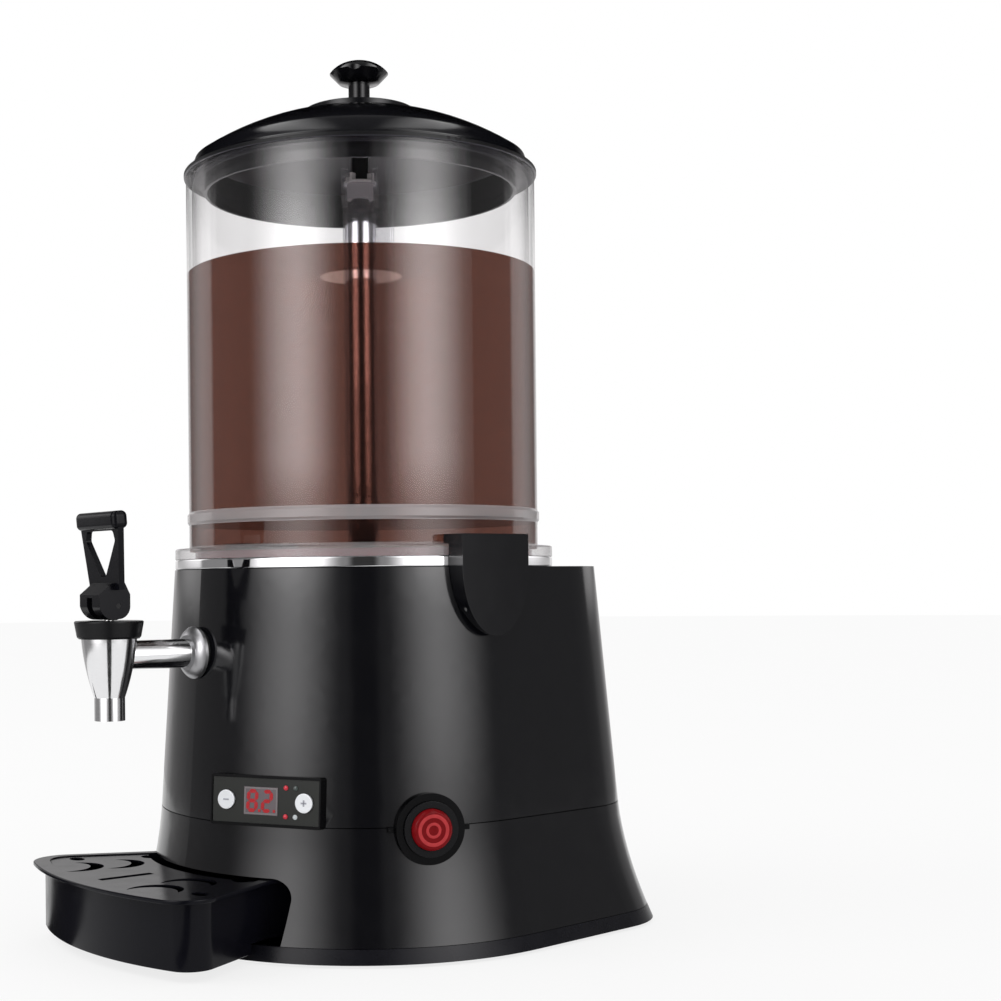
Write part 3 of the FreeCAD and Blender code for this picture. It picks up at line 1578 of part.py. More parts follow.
def make_tap_handle():
    rise = S.valve_lift / S.lever_swing
    arc_steps = (0, 25, 50, 75, 90)
    cam = [(S.cam_r, S.pivot_z), (0, S.pivot_z - S.cam_r)]
    cam += [cam_corner(step, S.cam_r + rise * step) for step in arc_steps[1:]]
    front = S.cam_r + rise * arc_steps[-1]
    cam += [
        (-front, S.pivot_z + S.cheek_high),
        (-S.loop_thick / 2 - S.cheek_lap, S.knuckle_top),
        (S.loop_thick / 2 + S.cheek_lap, S.knuckle_top),
        (S.cam_r, S.pivot_z + S.cheek_high),
    ]
    swell = {0: -S.cam_r}
    for side, step in enumerate(arc_steps[:-1], start=1):
        swell[side] = -(S.cam_r + rise * (step + 12))
    knuckle = padded("Knuckle", "YZ_Plane", cam, 2 * S.knuckle_half_x, swell, middle=True)
    loop = padded(
        "Loop",
        "XZ_Plane",
        (
            (-S.loop_low_half, S.knuckle_top - 4),
            (S.loop_low_half, S.knuckle_top - 4),
            (S.loop_high_half, S.window_high + 2),
            (-S.loop_high_half, S.window_high + 2),
        ),
        S.loop_thick,
        middle=True,
    )
    shoulder = 6
    shoulder_half = S.window_high_half - 2
    bar_round = 3.4
    window_round = 2.5
    rod_room = 0.4
    fork_high = 3.5
    window = rounded(
        padded(
            "LoopWindow",
            "XZ_Plane",
            (
                (-S.window_low_half, S.window_low),
                (S.window_low_half, S.window_low),
                (S.window_high_half, S.window_high - shoulder),
                (shoulder_half, S.window_high),
                (-shoulder_half, S.window_high),
                (-S.window_high_half, S.window_high - shoulder),
            ),
            S.loop_thick * 3,
            middle=True,
        ),
        window_round,
        runs_along((0, 1, 0)),
    )
    bar = rounded(
        padded(
            "GripBar",
            "YZ_Plane",
            (
                (-S.bar_thick / 2, S.window_high + 0.8),
                (S.bar_thick / 2, S.window_high + 0.8),
                (S.bar_thick / 2, S.bar_top),
                (-S.bar_thick / 2, S.bar_top),
            ),
            2 * S.bar_half_x,
            middle=True,
        ),
        bar_round,
        lambda edge: True,
    )
    fork = box(
        "ForkSlot",
        (-S.valve_rod_r - rod_room, -S.tap_body_r * 2, S.pivot_z - S.tap_body_r),
        (S.valve_rod_r + rod_room, S.tap_body_r * 2, S.pivot_z + S.pivot_r + fork_high),
    )
    pin_hole = cylinder("HandlePinHole", S.pivot_r + S.run_gap, 4 * S.knuckle_half_x,
                        (-2 * S.knuckle_half_x, 0, S.pivot_z), "+X")
    grip = fuse("Grip", cut("LoopOpen", loop, window), bar)
    leaning = tilted("HandleLean", grip, S.loop_lean, length(0), S.pivot_z)
    whole = fuse("HandleWhole", knuckle, leaning)
    node("tap_handle", at_spout("HandleAt", cut("Handle", whole, fork, pin_hole)))


# --------------------------------------------------------------------------------------------------
# Drip tray and grille
# --------------------------------------------------------------------------------------------------


def tray_outline(inset):
    """Corners of the tray from the rear left, and the radius of its front."""
    half, neck = S.tray_half - inset * 1.3, S.tray_neck_half - inset
    corner_y = -S.tray_corner_y + inset
    corners = (
        (-neck, -S.tray_rear_y - inset),
        (-neck, -S.tray_neck_y),
        (-half, corner_y),
        (half, corner_y),
        (neck, -S.tray_neck_y),
        (neck, -S.tray_rear_y - inset),
    )
    depth = S.tray_front - S.tray_corner_y
    radius = (half * half + depth * depth) / (depth * 2)
    return corners, {2: radius}


def tray_block(name, inset, low, high):
    corners, arcs = tray_outline(inset)
    block = padded(name, "XY_Plane", corners, length(high) - low, arcs, low)
    corner = S.tray_corner_r - inset

    def front_corner(edge):
        middle = edge.BoundBox.Center
        return runs_along((0, 0, 1))(edge) and middle.y < -float(S.tray_corner_y) + 8

    return rounded(block, corner, front_corner)


def grille_holes():
    """Ovals near the corners, two crescents on each side and one long slot in the middle."""
    low = S.tray_top - S.grille_drop - 2 * S.grille_thick
    deep = 3 * S.grille_thick
    disc_off, bite_off = (8, 10), (13, 17)
    slot_from_front = 12
    oval_long = 20
    tools = []
    slot_y = -S.tray_front + S.slot_long / 2 + slot_from_front
    tools.append(
        box("SlotMiddle", (-S.slot_wide / 2, slot_y - S.slot_long / 2, low),
            (S.slot_wide / 2, slot_y + S.slot_long / 2, low + deep))
    )
    for name, radius_a, radius_b, x, y in (
        ("Front", 6.5, 4.5, S.tray_half - 20, -S.tray_corner_y + 14),
        ("Rear", 6.5, 4.5, S.tray_neck_half - 9, -S.tray_neck_y - 12),
    ):
        for side in (-1, 1):
            oval = doc.addObject("Part::Ellipsoid", f"Oval{name}{'LR'[side > 0]}")
            oval.Radius1 = oval_long
            oval.Radius2 = radius_a
            oval.Radius3 = radius_b
            tools.append(place(oval, (side * x, y, low + deep / 2)))
    for name, x, y in (("Front", 43, -181), ("Rear", 37, -155)):
        for side in (-1, 1):
            letter = "LR"[side > 0]
            rim = cylinder(f"Crescent{name}{letter}Disc", S.crescent_r, deep,
                           (side * (x + disc_off[0]), y - disc_off[1], low))
            bite = cylinder(f"Crescent{name}{letter}Bite", S.crescent_r, deep + 2,
                            (side * (x + bite_off[0]), y - bite_off[1], low - 1))
            tools.append(cut(f"Crescent{name}{letter}", rim, bite))
    return tools


def make_tray():
    rim_ledge = S.tray_top - S.grille_drop - S.grille_thick
    body = tray_block("TrayBlock", 0, S.tray_low, S.tray_top)
    keep_off = S.foot_front_r + 2
    undercut = cylinder("TrayUndercut", keep_off, S.tongue_low - S.tray_low + 5, (0, 0, S.tray_low - 5))
    hollow_shallow = tray_block("TrayHollow", S.tray_wall, S.tongue_low + S.tray_wall, S.tray_top + 1)
    hollow_deep = cut(
        "TraySump",
        tray_block("TraySumpBlock", S.tray_wall, S.tray_low + S.tray_wall, S.tongue_low + S.tray_wall + 1),
        cylinder("TraySumpLimit", keep_off + S.tray_wall, S.tray_top, (0, 0, 0)),
    )
    lip = cut(
        "TrayLip",
        tray_block("TrayLipBlock", -S.tray_lip_out, S.tray_top - S.tray_lip_thick, S.tray_top),
        cylinder("TrayLipEnd", S.tray_lip_rear_r, S.tray_top * 2),
    )
    whole = fuse("TrayWhole", body, lip)
    node("drip_tray", cut("DripTray", whole, undercut, hollow_shallow, hollow_deep))

    inset = S.tray_wall + S.fit_gap
    plate = tray_block("GrilleBlock", inset, rim_ledge, rim_ledge + S.grille_thick)
    rear = cylinder("GrilleRear", S.grille_rear_r, S.tray_top + 1)
    floor = S.tray_low + S.tray_wall + 0.1
    front_leg_in, front_leg_back, rear_leg_back = 14, 9, 34
    legs = []
    for i, (side, back) in enumerate(((-1, 0), (1, 0), (-1, 1), (1, 1))):
        leg_x = (S.tray_neck_half if back else S.tray_half - front_leg_in) * side
        leg_y = -S.tray_corner_y + (rear_leg_back if back else front_leg_back)
        legs.append(cylinder(f"GrilleLeg{i}", S.grille_leg_r, rim_ledge - floor, (leg_x, leg_y, floor)))
    node("drip_grille", fuse("Grille", cut("GrillePlate", plate, rear, *grille_holes()), *legs))


# --------------------------------------------------------------------------------------------------
# Bowl clamps
# --------------------------------------------------------------------------------------------------


def clamp_shape(name, inset, from_x, to_x):
    """The clamp's outline, square above and half oval below, between two distances from the axis."""
    half = S.clamp_half - inset
    drop = S.clamp_oval_z - S.clamp_low - inset
    block = box(
        name + "Head",
        (from_x, -half, S.clamp_oval_z),
        (to_x, half, S.clamp_top - inset),
    )
    oval = doc.addObject("Part::Ellipse", name + "OvalLine")
    bind(oval, "MajorRadius", drop)
    bind(oval, "MinorRadius", half)
    tongue = doc.addObject("Part::Extrusion", name + "Tongue")
    tongue.Base = oval
    tongue.DirMode = "Custom"
    tongue.Dir = Vector(0, 0, 1)
    tongue.Solid = True
    bind(tongue, "LengthFwd", length(to_x) - from_x)
    upright = place(moved(name + "TongueAt", tongue), (from_x, 0, S.clamp_oval_z), "+X")
    below = box(name + "Below", (from_x, -half, S.clamp_low - 1), (to_x, half, S.clamp_oval_z))
    return fuse(name + "Outline", block, common(name + "HalfOval", upright, below))


def make_clamps():
    pin = (S.clamp_pin_x, 0, S.clamp_pin_z)
    gap = S.fit_gap
    shell = clamp_shape("Clamp", 0, S.clamp_reach_x, S.clamp_face_x)
    hollow = clamp_shape("ClampHollow", S.clamp_wall, S.clamp_reach_x - 5, S.clamp_face_x - S.clamp_wall)
    hook_under = flange_z + 0.2
    cap = box(
        "ClampHollowCap",
        (S.clamp_reach_x - 6, -S.clamp_half, S.clamp_low),
        (S.clamp_face_x, S.clamp_half, hook_under),
    )
    hollow_low = common("ClampHollowLow", hollow, cap)
    stand_off = settled(
        "ClampStandOff", stack(float(S.clamp_low) - 10, S.housing_top, -float(gap) - 0.1)
    )
    flange_room = cylinder(
        "ClampFlangeRoom", S.flange_r + gap, hook_under - S.housing_top + 1, (0, 0, S.housing_top - 1)
    )
    relief_slope = 0.6
    lean = padded(
        "ClampRelief",
        "XZ_Plane",
        (
            (S.clamp_reach_x - 10, S.clamp_low - 5),
            (S.clamp_relief_x, S.clamp_low - 5),
            (S.clamp_relief_x - relief_slope, S.clamp_low),
            (wall_radius(S.clamp_pin_z) + gap, S.clamp_pin_z - 1),
            (S.clamp_reach_x - 10, S.clamp_pin_z - 1),
        ),
        S.clamp_half * 3,
        middle=True,
    )
    pin_hole = cylinder("ClampPinHole", S.clamp_pin_r + S.run_gap, S.clamp_half * 3,
                        (pin[0], -S.clamp_half * 1.5, pin[2]), "+Y")
    seated = cut("ClampSeated", cut("ClampHollowed", shell, hollow_low), stand_off)
    clamp = cut("ClampShell", cut("ClampRoomy", seated, flange_room, lean), pin_hole)
    clamp_far = cut("ClampShellFar", clamp, moved("ClampStandOffFar", stand_off, turn=180))
    node("clamp_right", clamp)
    node("clamp_left", clamp_far, turn=180)

    eye = cylinder("ClampEye", S.clamp_ear_r, S.clamp_ear_half * 2,
                   (pin[0], -S.clamp_ear_half, pin[2]), "+Y")
    web = box(
        "ClampWeb",
        (S.clamp_reach_x, -S.clamp_ear_half, pin[2] - S.clamp_ear_r),
        (pin[0], S.clamp_ear_half, pin[2] + S.clamp_ear_r),
    )
    eye_bore = cylinder("ClampEyeBore", S.clamp_pin_r + press_gap, S.clamp_ear_half * 4,
                        (pin[0], -S.clamp_ear_half * 2, pin[2]), "+Y")
    bracket = cut("ClampBracket", fuse("ClampBracketWhole", eye, web), whole_upper, eye_bore)
    rod = cylinder("ClampPin", S.clamp_pin_r, S.clamp_pin_half * 2,
                   (pin[0], -S.clamp_pin_half, pin[2]), "+Y")
    coil_turns, coil_gap = 4, 0.6
    spring = coil("ClampSpring", S.clamp_coil_r, S.clamp_wire_r, S.clamp_spring_long, coil_turns,
                  (pin[0], S.clamp_ear_half + coil_gap, pin[2]), "+Y")
    for label, piece in (("clamp_brackets", bracket), ("clamp_pins", rod), ("clamp_springs", spring)):
        node(label, piece, moved(label + "_far", piece, turn=180))


# --------------------------------------------------------------------------------------------------
# Controller and power switch
# --------------------------------------------------------------------------------------------------

panel_front = panel_y - S.panel_out
face_front = panel_front + S.face_sunk
face_back = face_front + S.face_thick


def panel_box(name, half_x, half_z, front, back, x=0, z=0):
    return box(
        name,
        (x - half_x, front, S.panel_z + z - half_z),
        (x + half_x, back, S.panel_z + z + half_z),
    )


def panel_round(name, radius, front, back, x, z=0):
    return cylinder(name, radius, back - front, (x, front, S.panel_z + z), "+Y")


def lamp_places():
    return [(S.lamp_x + S.lamp_step_x * column, S.lamp_z * side) for column in (0, 1) for side in (-1, 1)]


def wall_seen_from(name, turn):
    """The filled housing, turned so that the given side faces the front."""
    whole = fuse(name + "Wall", whole_upper, whole_seam, whole_lower)
    return moved(name + "WallTurned", whole, turn=-turn)


def make_controller():
    turn = S.panel_turn
    bezel = padded(
        "Bezel",
        "XZ_Plane",
        (
            (-S.panel_half_x, S.panel_z - S.panel_half_z),
            (S.panel_half_x, S.panel_z - S.panel_half_z),
            (S.panel_half_x, S.panel_z + S.panel_half_z),
            (-S.panel_half_x, S.panel_z + S.panel_half_z),
        ),
        S.panel_deep,
        offset=-panel_front - S.panel_deep,
    )
    bezel_round = 1.5
    bezel = rounded(bezel, bezel_round, runs_along((0, 1, 0)))
    opening = panel_box(
        "BezelOpening", S.face_half_x + 0.1, S.face_half_z + 0.1,
        panel_front - 1, panel_front + S.panel_deep + 1,
    )
    frame = on_panel("BezelLean", cut("BezelFrame", bezel, opening))
    node("controller_bezel", cut("BezelSeated", frame, wall_seen_from("Bezel", turn)), turn=turn)

    key_hole = S.key_r + S.run_gap
    display_gap = 0.1
    lamp_back = face_front + 2.6
    key_back = face_front - S.key_out + S.key_long + S.key_travel + 0.4
    glass_out, glass_in = 0.3, 2.5
    lamp_hole = S.lamp_r + S.run_gap

    def fittings(stage, front, back):
        tools = [
            panel_box(stage + "Display", S.display_half_x + display_gap, S.display_half_z + display_gap,
                      front, back if stage == "Face" else lamp_back, S.display_x)
        ]
        for i, side in enumerate((-1, 1)):
            deep = back if stage == "Face" else key_back
            tools.append(panel_round(f"{stage}Key{i}", key_hole, front, deep, side * S.key_x))
        for i, (x, z) in enumerate(lamp_places()):
            tools.append(panel_round(f"{stage}Lamp{i}", lamp_hole, front, lamp_back, x, z))
        return tools

    face = panel_box("FacePlate", S.face_half_x, S.face_half_z, face_front, face_back)
    node(
        "controller_face",
        on_panel("FaceLean", cut("Face", face, *fittings("Face", face_front - 1, face_back + 1))),
        turn=turn,
    )

    neck_back = panel_y + S.housing_wall
    box_half_z = S.case_half_z - 0.4
    case = fuse(
        "CaseWhole",
        panel_box("CaseNeck", S.face_half_x, S.face_half_z, face_back, neck_back),
        panel_box("CaseBox", S.case_half_x, box_half_z, neck_back, face_back + S.case_deep),
    )
    node(
        "controller_case",
        on_panel("CaseLean", cut("Case", case, *fittings("Case", face_back - 1, neck_back))),
        turn=turn,
    )
    node(
        "display_window",
        on_panel(
            "DisplayLean",
            panel_box("Display", S.display_half_x, S.display_half_z,
                      face_front - glass_out, face_front + glass_in, S.display_x),
        ),
        turn=turn,
    )
    for label, side in (("button_left", -1), ("button_right", 1)):
        key = panel_round("Key_" + label, S.key_r, face_front - S.key_out,
                          face_front - S.key_out + S.key_long, side * S.key_x)
        node(label, on_panel("Lean_" + label, key), turn=turn)
    lamps = [
        panel_round(f"Lamp{i}", S.lamp_r, face_front - glass_out, face_front + glass_in, x, z)
        for i, (x, z) in enumerate(lamp_places())
    ]
    node("indicator_lights", on_panel("LampsLean", *lamps), turn=turn)


def switch_round(name, radius, front, back):
    return cylinder(name, radius, back - front, (0, front, S.switch_z), "+Y")


def make_switch():
    turn = S.switch_turn
    ring_front = switch_y - S.switch_ring_out
    collar_front = switch_y - S.switch_collar_out
    cap_front = switch_y - S.switch_cap_out
    shelf = switch_y - 1.5
    root = switch_y + 3
    lug_front = switch_y - 1.4
    bore = S.switch_cap_r + S.run_gap * 2
    skin = wall_seen_from("Switch", turn)
    ring = cut(
        "SwitchRingWhole",
        fuse(
            "SwitchRingDisc",
            switch_round("SwitchRingRound", S.switch_ring_r, ring_front, root),
            box("SwitchLugs", (-S.switch_lug_r, lug_front, S.switch_z - S.switch_lug_half),
                (S.switch_lug_r, root, S.switch_z + S.switch_lug_half)),
        ),
        switch_round("SwitchRingHole", S.switch_collar_r + S.run_gap, ring_front - 1, root + 1),
    )
    node("switch_ring", cut("SwitchRing", ring, skin), turn=turn)

    tag_half, tag_long = 8, 8
    body_front = cap_front + S.switch_cap_out + S.switch_travel + 3.4
    disc = switch_round("SwitchCollarDisc", S.switch_collar_r, collar_front, root)
    collar = cut(
        "SwitchCollar",
        fuse(
            "SwitchCollarWhole",
            cut("SwitchCollarHead", disc, skin),
            switch_round("SwitchCollarNeck", S.switch_neck_r, shelf, body_front),
        ),
        switch_round("SwitchCollarBore", bore, collar_front - 1, body_front + 1),
    )
    node("switch_collar", collar, turn=turn)

    cap = switch_round("SwitchCapDisc", S.switch_cap_r, cap_front, root)
    node("switch_cap", cap, turn=turn)
    node(
        "switch_body",
        fuse(
            "SwitchBody",
            switch_round("SwitchCan", S.switch_neck_r, body_front, body_front + S.switch_deep - tag_long),
            box("SwitchTags", (-tag_half, body_front, S.switch_z - 1),
                (tag_half, body_front + S.switch_deep, S.switch_z + 1)),
        ),
        turn=turn,
    )


def make_power_board():
    board = box(
        "Board",
        (-S.board_half_x, S.board_front_y, S.board_z),
        (S.board_half_x, S.board_rear_y, S.board_z + S.board_thick),
    )
    edge, standoff_r = 6, 3
    relay_left, relay_step, relay_wide, relay_deep, relay_high = -30, 22, 18, 16, 15
    block_left, block_right, block_high = -20, 24, 12
    standoffs = []
    for i, (x, y) in enumerate(((-1, 0), (1, 0), (-1, 1), (1, 1))):
        stand_y = S.board_rear_y - edge if y else S.board_front_y + edge
        foot = (x * (S.board_half_x - edge), stand_y, floor_top)
        standoffs.append(cylinder(f"Standoff{i}", standoff_r, S.board_z - floor_top, foot))
    top = S.board_z + S.board_thick
    relay_front = S.board_front_y + 10
    relays = []
    for i in range(2):
        left = relay_left + relay_step * i
        relays.append(
            box(f"Relay{i}", (left, relay_front, top),
                (left + relay_wide, relay_front + relay_deep, top + relay_high))
        )
    node("power_board", fuse("PowerBoard", board, *standoffs, *relays))
    node(
        "terminal_block",
        box("TerminalBlock", (block_left, S.board_rear_y - 16, top),
            (block_right, S.board_rear_y - 4, top + block_high)),
    )


# --------------------------------------------------------------------------------------------------
# The whole machine
# --------------------------------------------------------------------------------------------------


def check():
    """Stops if anything failed to build or came out broken."""
    faults = []
    for thing in doc.Objects:
        if {"Invalid", "Error"} & set(thing.State):
            faults.append(f"{thing.Name}: {thing.State}")
    for group in NODES:
        shape = group.Shape
        if shape.isNull() or not shape.isValid() or not shape.Solids:
            faults.append(f"{group.Label}: broken shape")
    if faults:
        raise RuntimeError("; ".join(faults))


def write():
    os.makedirs("parts", exist_ok=True)
    for group in NODES:
        group.Shape.exportStep(f"parts/{group.Label}.step")
        print(f"{group.Label}: {len(group.Shape.Solids)} solids, {group.Shape.Volume / 1000:.2f} cm3")


make_upper_housing()
make_lower_housing()
make_base()
make_rear_panel()
make_pan()
make_heater()
make_bowl()
make_lid()
make_drive()
make_paddle()
make_tap_body()
make_tap_top()
make_tap_handle()
make_tray()
make_clamps()
make_controller()
make_switch()
make_power_board()
doc.recompute()
check()
write()
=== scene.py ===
"""Looks, light and camera of the hot chocolate dispenser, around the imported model."""

import json
import math

import bmesh
import bpy
from mathutils import Matrix, Vector


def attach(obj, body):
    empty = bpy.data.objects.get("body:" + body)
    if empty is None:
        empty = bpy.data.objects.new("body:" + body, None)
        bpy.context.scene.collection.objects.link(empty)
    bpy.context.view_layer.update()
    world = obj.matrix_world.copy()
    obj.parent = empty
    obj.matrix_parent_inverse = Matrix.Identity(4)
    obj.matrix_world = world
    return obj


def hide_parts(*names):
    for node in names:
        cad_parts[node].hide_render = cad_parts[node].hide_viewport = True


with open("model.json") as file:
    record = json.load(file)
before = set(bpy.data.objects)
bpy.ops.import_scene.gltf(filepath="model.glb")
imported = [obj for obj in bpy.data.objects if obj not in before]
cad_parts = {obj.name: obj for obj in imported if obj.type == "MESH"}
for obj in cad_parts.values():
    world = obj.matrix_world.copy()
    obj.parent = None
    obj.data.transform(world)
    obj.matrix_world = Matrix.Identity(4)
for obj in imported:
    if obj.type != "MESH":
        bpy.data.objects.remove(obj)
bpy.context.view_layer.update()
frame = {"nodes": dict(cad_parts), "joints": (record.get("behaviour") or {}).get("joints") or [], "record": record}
nodes = frame["nodes"]
scene = bpy.context.scene

# ---------------------------------------------------------------------------------------------
# Camera, as the photograph was taken
# ---------------------------------------------------------------------------------------------

AXIS_Y = 0.0258  # the bowl's axis
VIEW_AZIMUTH = math.radians(54.0)
VIEW_ROLL = math.radians(0.573)
VIEW_DISTANCE = 1.1427
VIEW_HEIGHT = 0.2281

camera_data = bpy.data.cameras.new("PhotoCamera")
camera_data.sensor_width = 36.0
camera_data.lens = 60.55
camera_data.shift_x = 0.1364
camera_data.shift_y = 0.0798
camera = bpy.data.objects.new("PhotoCamera", camera_data)
camera.location = (
    VIEW_DISTANCE * math.sin(VIEW_AZIMUTH),
    AXIS_Y - VIEW_DISTANCE * math.cos(VIEW_AZIMUTH),
    VIEW_HEIGHT,
)
camera.rotation_euler = (
    Matrix.Rotation(VIEW_AZIMUTH, 3, "Z")
    @ Matrix.Rotation(math.pi / 2, 3, "X")
    @ Matrix.Rotation(-VIEW_ROLL, 3, "Z")
).to_euler()
scene.collection.objects.link(camera)
scene.camera = camera
scene.view_settings.view_transform = "Standard"
scene.cycles.transparent_max_bounces = 24


# ---------------------------------------------------------------------------------------------
# Shader building
# ---------------------------------------------------------------------------------------------


class Shader:
    """A material's node tree, with the links that the finishes below share."""

    def __init__(self, name):
        self.material = bpy.data.materials.new(name)
        self.material.use_nodes = True
        self.tree = self.material.node_tree
        self.tree.nodes.clear()
        self.out = self.add("ShaderNodeOutputMaterial")
        self.where = self.add("ShaderNodeTexCoord").outputs["Object"]

    def add(self, kind, **settings):
        made = self.tree.nodes.new(kind)
        for key, value in settings.items():
            setattr(made, key, value)
        return made

    def link(self, source, target):
        self.tree.links.new(source, target)

    def noise(self, scale, detail=2.0, stretch=None):
        made = self.add("ShaderNodeTexNoise")
        made.inputs["Scale"].default_value = scale
        made.inputs["Detail"].default_value = detail
        where = self.where
        if stretch:
            mapping = self.add("ShaderNodeMapping")
            mapping.inputs["Scale"].default_value = stretch
            self.link(where, mapping.inputs["Vector"])
            where = mapping.outputs["Vector"]
        self.link(where, made.inputs["Vector"])
        return made.outputs["Fac"]

    def span(self, source, low, high, from_low=0.3, from_high=0.7):
        made = self.add("ShaderNodeMapRange")
        made.inputs["From Min"].default_value = from_low
        made.inputs["From Max"].default_value = from_high
        made.inputs["To Min"].default_value = low
        made.inputs["To Max"].default_value = high
        self.link(source, made.inputs["Value"])
        return made.outputs["Result"]

    def maths(self, operation, first, second=None):
        made = self.add("ShaderNodeMath", operation=operation)
        for value, socket in zip((first, second), made.inputs):
            if value is None:
                continue
            if isinstance(value, (int, float)):
                socket.default_value = value
            else:
                self.link(value, socket)
        return made.outputs["Value"]

    def blend(self, share, first, second):
        made = self.add("ShaderNodeMix", data_type="RGBA")
        for value, socket in ((share, made.inputs[0]), (first, made.inputs[6]), (second, made.inputs[7])):
            if isinstance(value, (int, float)):
                socket.default_value = value
            elif isinstance(value, tuple):
                socket.default_value = (*value, 1.0)
            else:
                self.link(value, socket)
        return made.outputs[2]

    def bump(self, source, strength, distance, under=None):
        made = self.add("ShaderNodeBump")
        made.inputs["Strength"].default_value = strength
        made.inputs["Distance"].default_value = distance
        self.link(source, made.inputs["Height"])
        if under is not None:
            self.link(under, made.inputs["Normal"])
        return made.outputs["Normal"]

    def principled(self, colour, rough, normal=None, **values):
        made = self.add("ShaderNodeBsdfPrincipled")
        if isinstance(colour, tuple):
            made.inputs["Base Color"].default_value = (*colour, 1.0)
        else:
            self.link(colour, made.inputs["Base Color"])
        if isinstance(rough, (int, float)):
            made.inputs["Roughness"].default_value = rough
        else:
            self.link(rough, made.inputs["Roughness"])
        if normal is not None:
            self.link(normal, made.inputs["Normal"])
        for key, value in values.items():
            made.inputs[key.replace("_", " ")].default_value = value
        return made.outputs["BSDF"]

    def finish(self, surface):
        self.link(surface, self.out.inputs["Surface"])
        return self.material


def moulded(name, colour, rough, spread, grain=0.0, ior=1.5, fade=0.12):
    """Moulded plastic: slightly uneven colour and gloss, a slow waviness and, if asked, a fine grain."""
    s = Shader(name)
    slow = s.noise(9.0, 3.0)
    darker = tuple(c * (1 - fade) for c in colour)
    shade = s.blend(s.span(slow, 0.0, 1.0), darker, colour)
    gloss = s.span(s.noise(70.0, 4.0), rough, rough + spread)
    wave = s.bump(s.noise(16.0, 1.0), 0.12, 0.0006)
    normal = s.bump(s.noise(2600.0, 2.0), grain, 0.00006, wave) if grain else wave
    return s.finish(s.principled(shade, gloss, normal, IOR=ior))


def metal(name, colour, rough, spread, stretch, lines=0.12):
    """Bare metal with fine drawn or turned lines along one direction."""
    s = Shader(name)
    fine = s.noise(420.0, 3.0, stretch)
    shade = s.blend(s.span(fine, 0.0, 1.0), tuple(c * 0.93 for c in colour), colour)
    gloss = s.span(s.noise(60.0, 3.0, stretch), rough, rough + spread)
    normal = s.bump(fine, lines, 0.00002)
    return s.finish(s.principled(shade, gloss, normal, Metallic=1.0))


def clear(name, tint, glint, haze=0.0, painted_highlight_bands=()):
    """A clear wall: what is behind it shows through, tinted, under its own reflection, with an even milky haze if
    asked and milky bands of painted highlight.
    """
    rough, rough_spread = 0.03, 0.03
    s = Shader(name)
    streaks = s.noise(30.0, 2.0, (1.0, 1.0, 0.08))
    colour = s.blend(s.span(streaks, 0.0, 1.0), tuple(c * 0.985 for c in tint), tint)
    through = s.add("ShaderNodeBsdfTransparent")
    s.link(colour, through.inputs["Color"])
    mirror = s.add("ShaderNodeBsdfGlossy")
    s.link(s.span(s.noise(45.0, 3.0), rough, rough + rough_spread), mirror.inputs["Roughness"])
    slant = s.add("ShaderNodeLayerWeight")
    slant.inputs["Blend"].default_value = 0.5
    steep = s.maths("POWER", slant.outputs["Facing"], 5.0)
    share = s.maths("ADD", s.maths("MULTIPLY", steep, 1.0 - glint), glint)
    joined = s.add("ShaderNodeMixShader")
    s.link(share, joined.inputs["Fac"])
    s.link(through.outputs["BSDF"], joined.inputs[1])
    s.link(mirror.outputs["BSDF"], joined.inputs[2])
    surface = joined.outputs["Shader"]
    if haze or painted_highlight_bands:
        haze_and_painted_highlight = s.principled((0.62, 0.60, 0.61), s.span(s.noise(80.0), 0.3, 0.45))
        mixed = s.add("ShaderNodeMixShader")
        amount = s.maths("ADD", s.span(s.noise(40.0), 0.0, haze * 0.1), haze)
        height = s.add("ShaderNodeSeparateXYZ")
        s.link(s.where, height.inputs["Vector"])
        # Painted highlight: each band mixes the milky white in at its heights to lighten the wall there.
        for low, high, strength in painted_highlight_bands:
            above = s.maths("GREATER_THAN", height.outputs["Z"], low)
            below = s.maths("LESS_THAN", height.outputs["Z"], high)
            highlight_band = s.maths("MULTIPLY", s.maths("MULTIPLY", above, below), strength)
            amount = s.maths("ADD", amount, highlight_band)
        s.link(amount, mixed.inputs["Fac"])
        s.link(surface, mixed.inputs[1])
        s.link(haze_and_painted_highlight, mixed.inputs[2])
        surface = mixed.outputs["Shader"]
    return s.finish(surface)


def glowing(name, colour, strength, rough=0.3, ior=1.5):
    """A lit lens: coloured plastic with its own light, brighter in the middle of its grain."""
    s = Shader(name)
    shade = s.blend(s.span(s.noise(300.0), 0.0, 1.0), tuple(c * 0.85 for c in colour), colour)
    lit = s.principled(shade, s.span(s.noise(90.0), rough, rough + 0.1), IOR=ior)
    made = lit.node
    s.link(shade, made.inputs["Emission Color"])
    made.inputs["Emission Strength"].default_value = strength
    return s.finish(lit)


# ---------------------------------------------------------------------------------------------
# Finishes
# ---------------------------------------------------------------------------------------------

black_gloss = moulded("BlackGloss", (0.0045, 0.0045, 0.006), 0.10, 0.05, ior=1.45)
black_satin = moulded("BlackSatin", (0.006, 0.006, 0.007), 0.26, 0.10, grain=0.2, ior=1.27)
tray_black = moulded("TrayBlack", (0.005, 0.005, 0.008), 0.16, 0.06, grain=0.08, ior=1.2)
handle_black = moulded("HandleBlack", (0.004, 0.004, 0.006), 0.20, 0.08, grain=0.1, ior=1.2)
lid_black = moulded("LidBlack", (0.006, 0.006, 0.008), 0.13, 0.05, ior=1.45)
